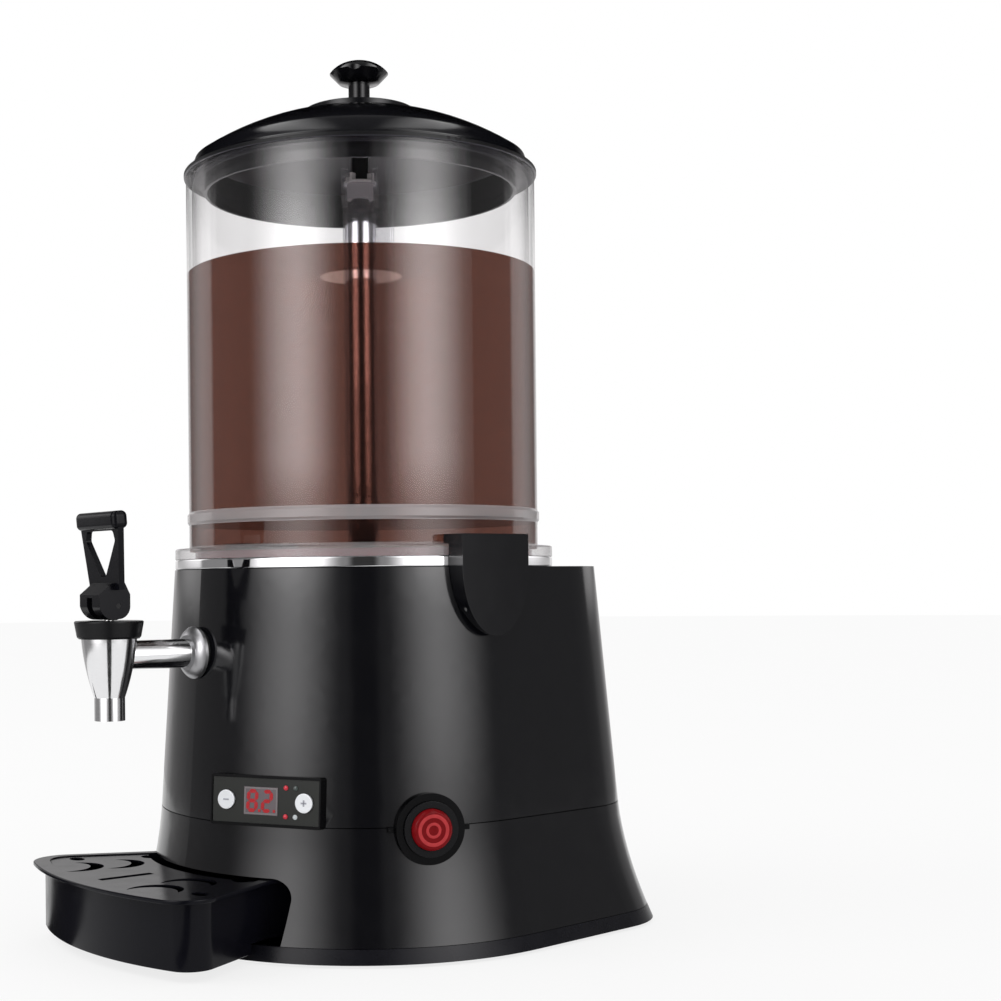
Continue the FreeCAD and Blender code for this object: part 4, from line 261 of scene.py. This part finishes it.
# Painted reflection: a paler copy of the lid's black plastic for its hollow, standing in for the reflections seen
# there.
lid_hollow_painted_reflection = moulded("LidHollowPaintedReflection", (0.055, 0.053, 0.067), 0.16, 0.06, ior=1.45)
base_black = moulded("BaseBlack", (0.006, 0.006, 0.009), 0.24, 0.08, grain=0.15, ior=1.27)
face_grey = moulded("FaceGrey", (0.013, 0.0145, 0.0125), 0.32, 0.10, grain=0.2, ior=1.3)
bezel_black = moulded("BezelBlack", (0.0025, 0.0025, 0.003), 0.22, 0.08, grain=0.1, ior=1.16)
collar_black = moulded("CollarBlack", (0.006, 0.006, 0.007), 0.25, 0.08, grain=0.1, ior=1.2)
foot_rubber = moulded("FootRubber", (0.012, 0.012, 0.012), 0.7, 0.15, grain=0.6, ior=1.4)
gasket_red = moulded("GasketRed", (0.42, 0.035, 0.05), 0.38, 0.1, grain=0.2)
head_ivory = moulded("HeadIvory", (0.88, 0.85, 0.85), 0.32, 0.1)
thermostat_white = moulded("ThermostatWhite", (0.75, 0.74, 0.70), 0.4, 0.1)
key_white = moulded("KeyWhite", (0.94, 0.96, 0.99), 0.25, 0.1, fade=0.06)
board_green = moulded("BoardGreen", (0.02, 0.16, 0.06), 0.35, 0.1)
steel_bright = metal("SteelBright", (0.80, 0.80, 0.81), 0.035, 0.03, (1.0, 1.0, 14.0), 0.05)
steel_tap = metal("SteelTap", (0.84, 0.84, 0.85), 0.10, 0.05, (1.0, 1.0, 14.0), 0.05)
steel_soft = metal("SteelSoft", (0.38, 0.38, 0.39), 0.30, 0.08, (1.0, 14.0, 1.0), 0.1)
steel_plain = metal("SteelPlain", (0.62, 0.62, 0.62), 0.22, 0.12, (14.0, 1.0, 1.0), 0.2)
heater_cast = metal("HeaterCast", (0.42, 0.42, 0.41), 0.42, 0.2, (1.0, 1.0, 1.0), 0.6)
motor_grey = metal("MotorGrey", (0.28, 0.29, 0.30), 0.3, 0.15, (1.0, 1.0, 10.0), 0.2)
bush_bronze = metal("BushBronze", (0.60, 0.42, 0.22), 0.28, 0.12, (1.0, 1.0, 12.0), 0.2)
# Painted highlights: milky bands (low, high, strength) that lighten the bowl's flange and bead as if those bulges
# caught light.
FLANGE_PAINTED_HIGHLIGHT = (0.2425, 0.2515, 0.26)
BEAD_PAINTED_HIGHLIGHT = (0.2655, 0.2745, 0.40)
bowl_clear = clear("BowlClear", (0.974, 0.970, 0.972), 0.042, painted_highlight_bands=(FLANGE_PAINTED_HIGHLIGHT, BEAD_PAINTED_HIGHLIGHT))
paddle_clear = clear("PaddleClear", (0.95, 0.95, 0.965), 0.06, haze=0.07)
display_dark = moulded("DisplayDark", (0.105, 0.078, 0.090), 0.12, 0.06)
lamp_red = glowing("LampRed", (0.45, 0.018, 0.035), 0.4)
switch_red = glowing("SwitchRed", (0.155, 0.004, 0.006), 0.30, 0.16, 1.15)
ring_pink = glowing("RingPink", (0.38, 0.036, 0.040), 0.35, 0.2, 1.15)
digit_red = glowing("DigitRed", (0.36, 0.018, 0.024), 0.3, 0.3, 1.25)
film_grey = moulded("FilmGrey", (0.17, 0.15, 0.155), 0.2, 0.1)
lamp_off = moulded("LampOff", (0.07, 0.09, 0.085), 0.2, 0.1)
lamp_pale = glowing("LampPale", (0.45, 0.49, 0.50), 0.35)
sign_grey = moulded("SignGrey", (0.40, 0.41, 0.46), 0.3, 0.1)


def felt():
    s = Shader("JacketFelt")
    fibre = s.noise(900.0, 6.0)
    shade = s.blend(s.span(fibre, 0.0, 1.0), (0.22, 0.22, 0.21), (0.40, 0.39, 0.37))
    return s.finish(s.principled(shade, 0.9, s.bump(fibre, 0.8, 0.0006), Sheen_Weight=0.3))


def chocolate():
    """Hot chocolate: a deep brown tint, partly creamy, that lets the polished column show through."""
    s = Shader("Chocolate")
    swirl = s.noise(14.0, 4.0, (1.0, 1.0, 0.4))
    through = s.add("ShaderNodeBsdfTransparent")
    s.link(
        s.blend(s.span(swirl, 0.0, 1.0), (0.360, 0.222, 0.186), (0.378, 0.236, 0.198)),
        through.inputs["Color"],
    )
    cream = s.blend(s.span(swirl, 0.0, 1.0), (0.085, 0.028, 0.019), (0.095, 0.033, 0.023))
    liquid = s.principled(cream, s.span(s.noise(60.0), 0.35, 0.5), Specular_IOR_Level=0.1)
    mixed = s.add("ShaderNodeMixShader")
    s.link(s.span(swirl, 0.08, 0.10), mixed.inputs["Fac"])
    s.link(through.outputs["BSDF"], mixed.inputs[1])
    s.link(liquid, mixed.inputs[2])
    return s.finish(mixed.outputs["Shader"])


def drink_inside():
    """The drink's inner surfaces round the paddle, where drink meets drink: almost nothing to see."""
    s = Shader("DrinkInside")
    through = s.add("ShaderNodeBsdfTransparent")
    s.link(s.blend(s.noise(20.0), (0.985, 0.985, 0.985), (1.0, 1.0, 1.0)), through.inputs["Color"])
    return s.finish(through.outputs["BSDF"])


FINISHES = {
    "upper_housing": black_gloss,
    "lower_housing": black_gloss,
    "base_plate": base_black,
    "feet": foot_rubber,
    "foot_screws": steel_plain,
    "rear_panel": black_satin,
    "panel_screws": steel_plain,
    "cord_gland": black_satin,
    "product_pan": steel_bright,
    "bowl_gasket": gasket_red,
    "heater_plate": heater_cast,
    "heating_element": steel_plain,
    "safety_thermostat": thermostat_white,
    "insulation_jacket": felt(),
    "bowl": bowl_clear,
    "hot_chocolate": chocolate(),
    "lid": lid_black,
    "lid_stem": black_satin,
    "lid_knob": black_gloss,
    "centre_tube": steel_bright,
    "drive_shaft": steel_plain,
    "shaft_bush_top": bush_bronze,
    "shaft_bush_low": bush_bronze,
    "drive_head": head_ivory,
    "gearbox": motor_grey,
    "motor": motor_grey,
    "motor_bracket": steel_plain,
    "motor_screws": steel_plain,
    "bracket_posts": steel_plain,
    "paddle": paddle_clear,
    "tap_body": steel_tap,
    "tap_rosette": steel_soft,
    "tap_washer": foot_rubber,
    "tap_locknut": steel_plain,
    "tap_collar": black_satin,
    "tap_stem": steel_plain,
    "tap_seat_cup": foot_rubber,
    "tap_pin": black_satin,
    "tap_spring": steel_plain,
    "tap_handle": handle_black,
    "drip_tray": tray_black,
    "drip_grille": tray_black,
    "clamp_right": black_gloss,
    "clamp_left": black_gloss,
    "clamp_brackets": black_gloss,
    "clamp_pins": steel_plain,
    "clamp_springs": steel_plain,
    "controller_bezel": bezel_black,
    "controller_face": face_grey,
    "controller_case": black_satin,
    "display_window": display_dark,
    "button_left": key_white,
    "button_right": key_white,
    "indicator_lights": lamp_red,
    "switch_ring": bezel_black,
    "switch_collar": collar_black,
    "switch_cap": switch_red,
    "switch_body": black_satin,
    "power_board": board_green,
    "terminal_block": thermostat_white,
}
for name, thing in nodes.items():
    thing.data.materials.clear()
    thing.data.materials.append(FINISHES[name])

# ---------------------------------------------------------------------------------------------
# Pieces
# ---------------------------------------------------------------------------------------------

MM = 0.001
BODIES = frame["record"]["behaviour"]["bodies"]
BODY_OF = {node: body for body, members in BODIES.items() for node in members}
SLOT_OF = {row["node"]: row["material_slot"] for row in frame["record"]["subparts"]}
SMOOTH_BELOW = math.radians(35)
ROUNDED_ABOVE = math.radians(40)
ROUNDING_STEPS = 3
BOWL_WALL = 4.0 * MM
PLAIN_WALL_FROM = 0.49  # height above which the bowl is a plain tube
DRINK_CORE = 65.0 * MM  # the drink's inner surfaces lie within this radius


def piece(name, mesh, body, *materials, slot=None):
    """A piece of the object that moves with one of its bodies."""
    made = bpy.data.objects.new(name, mesh)
    for material in materials:
        mesh.materials.append(material)
    scene.collection.objects.link(made)
    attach(made, body)
    return made


def mesh_of(name, built):
    """Turns a finished bmesh into a mesh, smooth except at its sharp edges."""
    bmesh.ops.recalc_face_normals(built, faces=built.faces)
    for face in built.faces:
        face.smooth = True
    for edge in built.edges:
        if len(edge.link_faces) == 2 and edge.calc_face_angle(0.0) > SMOOTH_BELOW:
            edge.smooth = False
    mesh = bpy.data.meshes.new(name)
    built.to_mesh(mesh)
    built.free()
    return mesh


def softened(node, width, prepare=None, extra=()):
    """The node's own form with its sharp edges rounded off, standing for the node."""
    same_point, flat_below = 0.002 * MM, math.radians(0.5)
    built = bmesh.new()
    built.from_mesh(nodes[node].data)
    bmesh.ops.remove_doubles(built, verts=built.verts, dist=same_point)
    bmesh.ops.dissolve_limit(
        built, angle_limit=flat_below, verts=built.verts, edges=built.edges, delimit=set()
    )
    if prepare:
        prepare(built)
    made = piece(
        node + "_body", mesh_of(node + "_body", built), BODY_OF[node],
        FINISHES[node], *extra, slot=SLOT_OF[node],
    )
    bevel = made.modifiers.new("Rounding", "BEVEL")
    bevel.width = width
    bevel.segments = ROUNDING_STEPS
    bevel.limit_method = "ANGLE"
    bevel.angle_limit = ROUNDED_ABOVE
    bevel.use_clamp_overlap = True
    weight = made.modifiers.new("EvenNormals", "WEIGHTED_NORMAL")
    weight.keep_sharp = False
    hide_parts(node)


for node, width in (
    ("clamp_right", 0.9 * MM),
    ("clamp_left", 0.9 * MM),
    ("tap_handle", 1.3 * MM),
    ("drip_tray", 0.7 * MM),
    ("lid_knob", 1.2 * MM),
    ("controller_bezel", 0.5 * MM),
    ("switch_ring", 0.7 * MM),
    ("switch_collar", 0.7 * MM),
):
    softened(node, width)


def press_thin(built):
    """Shows the grille's plate as thin as its cut edges look, by lifting its underside."""
    thinner, same_level = 1.0 * MM, 0.02 * MM
    levels = [round(v.co.z, 5) for v in built.verts]
    under = min(sorted(set(levels), key=levels.count)[-2:])  # lower of the two commonest levels
    for vert in built.verts:
        if -same_level < vert.co.z - under < thinner:
            vert.co.z = under + thinner


def line_lid(built):
    """The lid's hollow gets a paler, softer copy of the lid's black as painted reflection, and its narrow rim is
    satin.
    """
    hollow_r, rim_r = 111.0 * MM, 118.0 * MM
    upright_below, facing_down = 0.5, -0.05
    built.normal_update()
    for face in built.faces:
        middle = face.calc_center_median()
        radius = math.hypot(middle.x, middle.y - AXIS_Y)
        upright = abs(face.normal.z) < upright_below
        if radius > rim_r and upright:
            face.material_index = 2
        elif radius < hollow_r and face.normal.z < facing_down:
            face.material_index = 1


softened("drip_grille", 0.5 * MM, press_thin)
# The lid's hollow takes the paler painted-reflection copy of its black; the rim takes satin.
softened("lid", 0.4 * MM, line_lid, (lid_hollow_painted_reflection, black_satin))


def seat_on(node, joint):
    """Right, up and outwards axes of a fitting pressed in by a joint, from the middle of its front face."""
    press = next(row["axis"] for row in frame["joints"] if row["name"] == joint)
    outward = -Vector(press).normalized()
    right = Vector((0, 0, 1)).cross(outward).normalized()
    axes = [right, outward.cross(right), outward]
    points = [v.co for v in nodes[node].data.vertices]
    middle = Vector()
    for axis in axes:
        along = [p.dot(axis) for p in points]
        middle += axis * ((min(along) + max(along)) / 2 if axis is not axes[2] else max(along))
    seat = Matrix.Identity(4)
    for column, axis in enumerate((*axes, middle)):
        for row in range(3):
            seat[row][column] = axis[row]
    return seat


def lathe(built, profile, seat=Matrix.Identity(4), steps=48, material=0):
    """Turns (radius, height) points in millimetres about the seat's own Z."""
    rings = []
    for radius, height in profile:
        if radius == 0:
            rings.append([built.verts.new(seat @ Vector((0, 0, height * MM)))])
            continue
        rings.append([
            built.verts.new(seat @ Vector((
                radius * MM * math.cos(2 * math.pi * i / steps),
                radius * MM * math.sin(2 * math.pi * i / steps),
                height * MM,
            )))
            for i in range(steps)
        ])
    for low, high in zip(rings, rings[1:]):
        for i in range(steps):
            j = (i + 1) % steps
            corners = [low[i % len(low)], low[j % len(low)], high[j % len(high)], high[i % len(high)]]
            unique = list(dict.fromkeys(corners))
            if len(unique) > 2:
                built.faces.new(unique).material_index = material


def slab(built, outline, low, high, seat, material=0):
    """A flat plate in millimetres on the seat, between two heights."""
    bottom = [built.verts.new(seat @ Vector((x * MM, y * MM, low * MM))) for x, y in outline]
    top = [built.verts.new(seat @ Vector((x * MM, y * MM, high * MM))) for x, y in outline]
    built.faces.new(bottom[::-1]).material_index = material
    built.faces.new(top).material_index = material
    count = len(outline)
    for i in range(count):
        j = (i + 1) % count
        built.faces.new((bottom[i], bottom[j], top[j], top[i])).material_index = material


def make_digits():
    """Two seven-segment digits with their points, just in front of the window."""
    seat = seat_on("display_window", "key_left_press")
    wide, high, bar, gap, proud = 5.6, 11.6, 2.3, 0.25, 0.15
    slant = 0.06
    point_off, point_half = 2.2, 0.8
    lit = {"8": "abcdefg", "2": "abged"}
    half_w, half_h = wide / 2, high / 2
    middles = {
        "a": (0, half_h, 0), "g": (0, 0, 0), "d": (0, -half_h, 0),
        "b": (half_w, half_h / 2, 1), "c": (half_w, -half_h / 2, 1),
        "e": (-half_w, -half_h / 2, 1), "f": (-half_w, half_h / 2, 1),
    }
    corners = ((-1, -1), (1, -1), (1, 1), (-1, 1))
    built = bmesh.new()
    for digit, centre in (("8", -5.9), ("2", 4.3)):
        for segment in lit[digit]:
            x, y, upright = middles[segment]
            long = (half_h if upright else wide) / 2 - gap
            thin = bar / 2
            outline = [
                (-long, 0), (-long + thin, -thin), (long - thin, -thin),
                (long, 0), (long - thin, thin), (-long + thin, thin),
            ]
            if upright:
                outline = [(-b, a) for a, b in outline]
            points = [(centre + x + a + slant * (y + b), y + b) for a, b in outline]
            slab(built, points, 0.0, proud, seat)
        point_x = centre + half_w + point_off
        square = [(point_x + point_half * a, -half_h + point_half * b) for a, b in corners]
        slab(built, square, 0.0, proud, seat)
    piece("display_digits", mesh_of("display_digits", built), "stand", digit_red, slot="lamp_red")


def make_window_frame():
    """The pale printed border of the display."""
    seat = seat_on("display_window", "key_left_press")
    built = bmesh.new()
    half_x, half_y, edge, proud = 11.5, 8.2, 1.0, 0.08
    for low_x, low_y, high_x, high_y in (
        (-half_x, -half_y, half_x, -half_y + edge),
        (-half_x, half_y - edge, half_x, half_y),
        (-half_x, -half_y + edge, -half_x + edge, half_y - edge),
        (half_x - edge, -half_y + edge, half_x, half_y - edge),
    ):
        outline = [(low_x, low_y), (high_x, low_y), (high_x, high_y), (low_x, high_y)]
        slab(built, outline, 0.0, proud, seat)
    piece("display_border", mesh_of("display_border", built), "stand", film_grey, slot="display_dark")


def make_lamps():
    """Four small domed lamps: two red, one off, one pale."""
    seat = seat_on("controller_face", "key_left_press")
    built = bmesh.new()
    dome = [(1.0, -1.4), (1.0, 0.2), (1.55, 0.25), (1.4, 0.75), (0.9, 1.1), (0, 1.25)]
    red, off, pale = 0, 1, 2
    near, far, half_y, steps = 14.2, 20.8, 8.6, 24
    places = ((near, half_y, red), (near, -half_y, red), (far, half_y, off), (far, -half_y, pale))
    for x, y, material in places:
        lathe(built, dome, seat @ Matrix.Translation((x * MM, y * MM, 0)), steps, material)
    made = piece(
        "controller_lamps", mesh_of("controller_lamps", built), "stand", lamp_red, lamp_off, lamp_pale,
        slot="lamp_red",
    )
    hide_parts("indicator_lights")


def make_key(node, body, upright):
    """A push button: a wide dished cap with a raised sign on a stem."""
    sign_long, sign_thin, sign_low, sign_high = 1.9, 0.45, -0.05, 0.25
    seat = seat_on(node, body + "_press")
    built = bmesh.new()
    lathe(built, [
        (0, -6.8), (5.3, -6.8), (5.3, -0.35), (5.75, -0.30), (5.85, -0.05), (5.6, 0.1), (5.1, 0.15),
        (3.5, 0.02), (0, -0.02),
    ], seat)
    for flat in (True, False) if upright else (True,):
        half_x, half_y = (sign_long, sign_thin) if flat else (sign_thin, sign_long)
        outline = [(-half_x, -half_y), (half_x, -half_y), (half_x, half_y), (-half_x, half_y)]
        slab(built, outline, sign_low, sign_high, seat, 1)
    made = piece(node + "_cap", mesh_of(node + "_cap", built), body, key_white, sign_grey, slot="key_white")
    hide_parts(node)


def make_switch_cap():
    """The lit cap: tapered, with two pale rings round a deep red middle."""
    steps, root, shoulder, crest = 64, -0.3, 0.1, 0.28
    seat = seat_on("switch_cap", "power_press")
    built = bmesh.new()
    lathe(built, [
        (0, -13.4), (12.45, -13.4), (12.45, -2.6), (12.2, -1.9), (11.2, -0.35), (10.7, -0.05), (10.2, 0.0),
        (6.2, -0.12), (3.4, -0.12), (0, -0.2),
    ], seat, steps)
    for radius, half in ((8.6, 1.25), (3.9, 0.95)):
        lathe(built, [
            (radius - half, root), (radius - half * 0.8, shoulder), (radius, crest),
            (radius + half * 0.8, shoulder), (radius + half, root),
        ], seat, steps, 1)
    made = piece(
        "switch_cap_lit", mesh_of("switch_cap_lit", built), "power_key",
        switch_red, ring_pink, slot="switch_red",
    )
    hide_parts("switch_cap")


def make_drink():
    """The drink out to the bowl's outer skin, as the photograph shows it through the thick clear wall."""
    clear_of_skin, at_wall = 0.4 * MM, 0.5 * MM
    axis = Vector((0.0, AXIS_Y, 0.0))
    bowl_skin = min(
        (v.co.xy - axis.xy).length
        for v in nodes["bowl"].data.vertices
        if v.co.z > PLAIN_WALL_FROM
    ) + BOWL_WALL
    built = bmesh.new()
    built.from_mesh(nodes["hot_chocolate"].data)
    wall = max((v.co.xy - axis.xy).length for v in built.verts)
    for vert in built.verts:
        out = vert.co.xy - axis.xy
        if out.length > wall - at_wall:
            out *= (bowl_skin - clear_of_skin) / out.length
            vert.co.x, vert.co.y = out.x, out.y + axis.y
    for face in built.faces:
        inner = max((v.co.xy - axis.xy).length for v in face.verts) < DRINK_CORE
        face.material_index = 1 if inner else 0
    made = piece(
        "drink_in_bowl", mesh_of("drink_in_bowl", built), BODY_OF["hot_chocolate"],
        FINISHES["hot_chocolate"], drink_inside(), slot=SLOT_OF["hot_chocolate"],
    )
    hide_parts("hot_chocolate")


def make_column():
    """The centre tube, polished out to the paddle's bore as in the photograph, and narrowing with it."""
    inner, outer, seen, steps = 5.2, 6.25, 10.5, 64
    low, neck, shoulder, hub, top = 150.0, 249.0, 265.0, 476.5, 486.0
    built = bmesh.new()
    lathe(built, [
        (inner, low), (outer, low), (outer, neck), (seen, shoulder), (seen, hub), (outer, hub + 1.0),
        (outer, top), (inner, top), (inner, low),
    ], Matrix.Translation((0.0, AXIS_Y, 0.0)), steps)
    bmesh.ops.remove_doubles(built, verts=built.verts, dist=1e-6)
    made = piece(
        "centre_tube_seen", mesh_of("centre_tube_seen", built), BODY_OF["centre_tube"],
        FINISHES["centre_tube"], slot=SLOT_OF["centre_tube"],
    )
    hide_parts("centre_tube")


make_drink()
make_column()
make_digits()
make_window_frame()
make_lamps()
make_key("button_left", "key_left", False)
make_key("button_right", "key_right", True)
make_switch_cap()

# ---------------------------------------------------------------------------------------------
# Floor, room and light
# ---------------------------------------------------------------------------------------------


def new_object(name, mesh, material):
    made = bpy.data.objects.new(name, mesh)
    mesh.materials.append(material)
    scene.collection.objects.link(made)
    return made


def floor_material():
    """A pale floor that keeps the object's shadow and is nearly white where it is seen or mirrored."""
    white_share = 0.8
    s = Shader("StudioFloor")
    shade = s.blend(s.span(s.noise(4.0, 2.0), 0.0, 1.0), (0.955, 0.955, 0.955), (0.965, 0.965, 0.965))
    cloth = s.principled(shade, 0.8, Specular_IOR_Level=0.0)
    glow = s.add("ShaderNodeEmission")
    path = s.add("ShaderNodeLightPath")
    seen = s.maths("MAXIMUM", path.outputs["Is Camera Ray"], path.outputs["Is Glossy Ray"])
    seen = s.maths("MAXIMUM", seen, path.outputs["Is Transmission Ray"])
    mixed = s.add("ShaderNodeMixShader")
    s.link(s.maths("MULTIPLY", seen, white_share), mixed.inputs["Fac"])
    s.link(cloth, mixed.inputs[1])
    s.link(glow.outputs["Emission"], mixed.inputs[2])
    return s.finish(mixed.outputs["Shader"])


def disc(name, radius, z, material):
    mesh = bpy.data.meshes.new(name)
    built = bmesh.new()
    bmesh.ops.create_circle(built, cap_ends=True, segments=96, radius=radius)
    bmesh.ops.translate(built, verts=built.verts, vec=(0, 0, z))
    built.to_mesh(mesh)
    built.free()
    return new_object(name, mesh, material)


FLOOR_RADIUS = 9.0
FLOOR_BELOW = 0.0005
floor = disc("studio_floor", FLOOR_RADIUS, -FLOOR_BELOW, floor_material())

TENT_RADIUS = 1.0
TENT_TOP = 1.9


def tent_material():
    """What the gloss reflects: two soft tall lights either side of a dark line towards the camera,
    brighter beside the bowl, with grey cloth around and behind that is dark above the machine."""
    light_level, light_more_at_bowl, line_level, cloth_level = 3.4, 4.0, 0.04, 0.22
    upper_side_level, upper_back_level, lower_side_level, lower_back_level = 1.6, 0.7, 0.15, 0.3
    s = Shader("StudioTent")
    at = s.add("ShaderNodeSeparateXYZ")
    s.link(s.where, at.inputs["Vector"])
    high = at.outputs["Z"]
    around = s.maths("ARCTAN2", at.outputs["X"], s.maths("MULTIPLY", at.outputs["Y"], -1.0))
    away = s.maths("MULTIPLY", s.maths("ABSOLUTE", around), 180.0 / math.pi)

    def step(low, high, source=away):
        """Rises softly from 0 to 1 between two degrees away from the camera, or two heights."""
        made = s.add("ShaderNodeMapRange", interpolation_type="SMOOTHSTEP")
        made.inputs["From Min"].default_value = low
        made.inputs["From Max"].default_value = high
        s.link(source, made.inputs["Value"])
        return made.outputs["Result"]

    def less(source):
        return s.maths("SUBTRACT", 1.0, source)

    def times(source, other):
        return s.maths("MULTIPLY", source, other)

    def plus(first, second):
        return s.maths("ADD", first, second)

    strip = times(step(11.0, 40.0), less(step(39.0, 74.0)))
    level = times(step(-0.1, 0.22, high), less(step(1.2, 1.9, high)))
    cloth = times(step(5.0, 10.0), cloth_level)
    upper_side = times(times(step(106.0, 110.0), less(step(112.0, 146.0))), upper_side_level)
    upper_back = times(step(146.0, 152.0), upper_back_level)
    upper = times(plus(upper_side, upper_back), less(step(0.62, 0.74, high)))
    lower_back = times(times(step(128.0, 147.0), less(step(150.0, 178.0))), lower_back_level)
    lower = plus(times(step(104.0, 114.0), lower_side_level), lower_back)
    over = step(0.22, 0.29, high)
    sides = plus(times(upper, over), times(lower, less(over)))
    dark = less(times(step(0.7, 1.0, high), step(84.0, 100.0)))
    beside_bowl = times(step(0.30, 0.38, high), less(step(0.60, 0.72, high)))
    lit = times(times(strip, level), plus(times(beside_bowl, light_more_at_bowl), light_level))
    total = plus(lit, plus(sides, times(plus(cloth, line_level), dark)))
    glow = s.add("ShaderNodeEmission")
    glow.inputs["Color"].default_value = (1.0, 0.985, 0.99, 1.0)
    s.link(total, glow.inputs["Strength"])
    return s.finish(glow.outputs["Emission"])


def roof_material():
    """Two soft lights above, either side of a dark line from the camera over the object."""
    lights, around, dark_half, lit_from = 2.2, 0.14, 0.25, 0.60
    s = Shader("StudioRoof")
    at = s.add("ShaderNodeSeparateXYZ")
    s.link(s.where, at.inputs["Vector"])
    aside = s.maths("ABSOLUTE", at.outputs["X"])
    lit = s.span(aside, 0.0, 1.0, dark_half, lit_from)
    glow = s.add("ShaderNodeEmission")
    s.link(s.maths("ADD", s.maths("MULTIPLY", lit, lights), around), glow.inputs["Strength"])
    return s.finish(glow.outputs["Emission"])


def dark_cloth(name, level):
    uneven = 0.15
    s = Shader(name)
    glow = s.add("ShaderNodeEmission")
    s.link(s.span(s.noise(3.0), level * (1 - uneven), level * (1 + uneven)), glow.inputs["Strength"])
    return s.finish(glow.outputs["Emission"])


def only_mirrored(thing):
    """Seen in reflections only, and no part of the object."""
    thing.visible_camera = False
    thing.visible_diffuse = False
    thing.visible_transmission = False
    thing.visible_shadow = False
    thing.visible_volume_scatter = False


def make_flags():
    """Dark cloths on the floor, fanning out from below the tap: one to the camera, one to the left."""
    above_floor, level = 0.0005, 0.03
    tap = Vector((0.0, nodes["tap_stem"].data.vertices[0].co.y))
    towards = (Vector(camera.location).xy - tap).normalized()
    built = bmesh.new()
    for turn, half, start, reach in ((0.0, 10.0, 0.10, 1.0), (-135.0, 16.0, 0.03, 0.5)):
        corners = []
        for away, side in ((start, -1), (reach, -1), (reach, 1), (start, 1)):
            turned = Matrix.Rotation(math.radians(turn + side * half), 2) @ towards
            corners.append(built.verts.new((*(tap + turned * away), above_floor)))
        built.faces.new(corners)
    cloth = dark_cloth("StudioFlag", level)
    only_mirrored(new_object("studio_flags", mesh_of("studio_flags", built), cloth))


def make_tent():
    """A closed cylinder round the object, in its own frame: its -Y axis points at the camera."""
    mesh = bpy.data.meshes.new("studio_tent")
    built = bmesh.new()
    bmesh.ops.create_cone(
        built, cap_ends=False, segments=128, radius1=TENT_RADIUS, radius2=TENT_RADIUS, depth=TENT_TOP
    )
    bmesh.ops.translate(built, verts=built.verts, vec=(0, 0, TENT_TOP / 2))
    for face in built.faces:
        face.smooth = True
    roof = bmesh.ops.create_circle(built, cap_ends=True, segments=128, radius=TENT_RADIUS)["verts"]
    bmesh.ops.translate(built, verts=roof, vec=(0, 0, TENT_TOP))
    for vert in roof:
        for face in vert.link_faces:
            face.material_index = 1
    built.to_mesh(mesh)
    built.free()
    made = new_object("studio_tent", mesh, tent_material())
    mesh.materials.append(roof_material())
    made.location = (0, AXIS_Y, 0)
    made.rotation_euler = (0, 0, VIEW_AZIMUTH)
    only_mirrored(made)


make_tent()
make_flags()


def make_world():
    """A plain even light, white where it is seen or mirrored."""
    light_level, seen_level = 0.82, 1.0
    world = bpy.data.worlds.new("Studio")
    world.use_nodes = True
    tree = world.node_tree
    tree.nodes.clear()
    out = tree.nodes.new("ShaderNodeOutputWorld")
    background = tree.nodes.new("ShaderNodeBackground")
    background.inputs["Color"].default_value = (1.0, 1.0, 1.0, 1.0)
    path = tree.nodes.new("ShaderNodeLightPath")
    seen = tree.nodes.new("ShaderNodeMath")
    seen.operation = "MAXIMUM"
    tree.links.new(path.outputs["Is Camera Ray"], seen.inputs[0])
    tree.links.new(path.outputs["Is Transmission Ray"], seen.inputs[1])
    seen_or_mirrored = tree.nodes.new("ShaderNodeMath")
    seen_or_mirrored.operation = "MAXIMUM"
    tree.links.new(seen.outputs[0], seen_or_mirrored.inputs[0])
    tree.links.new(path.outputs["Is Glossy Ray"], seen_or_mirrored.inputs[1])
    strength = tree.nodes.new("ShaderNodeMapRange")
    strength.inputs["To Min"].default_value = light_level
    strength.inputs["To Max"].default_value = seen_level
    tree.links.new(seen_or_mirrored.outputs[0], strength.inputs["Value"])
    tree.links.new(strength.outputs["Result"], background.inputs["Strength"])
    tree.links.new(background.outputs["Background"], out.inputs["Surface"])
    scene.world = world


make_world()


def soft_lamp(name, at, size, watts):
    """A soft square lamp aimed at the middle of the machine, itself never seen or mirrored."""
    data = bpy.data.lights.new(name, "AREA")
    data.shape = "RECTANGLE"
    data.size, data.size_y = size
    data.energy = watts
    lamp = bpy.data.objects.new(name, data)
    lamp.location = at
    middle = Vector((0.0, AXIS_Y, 0.25))
    aim = middle - Vector(at)
    lamp.rotation_euler = aim.to_track_quat("-Z", "Y").to_euler()
    lamp.visible_camera = False
    lamp.visible_glossy = False
    lamp.visible_transmission = False
    scene.collection.objects.link(lamp)


soft_lamp("KeyLamp", (-0.6, -1.6, 1.9), (1.2, 1.2), 9.0)
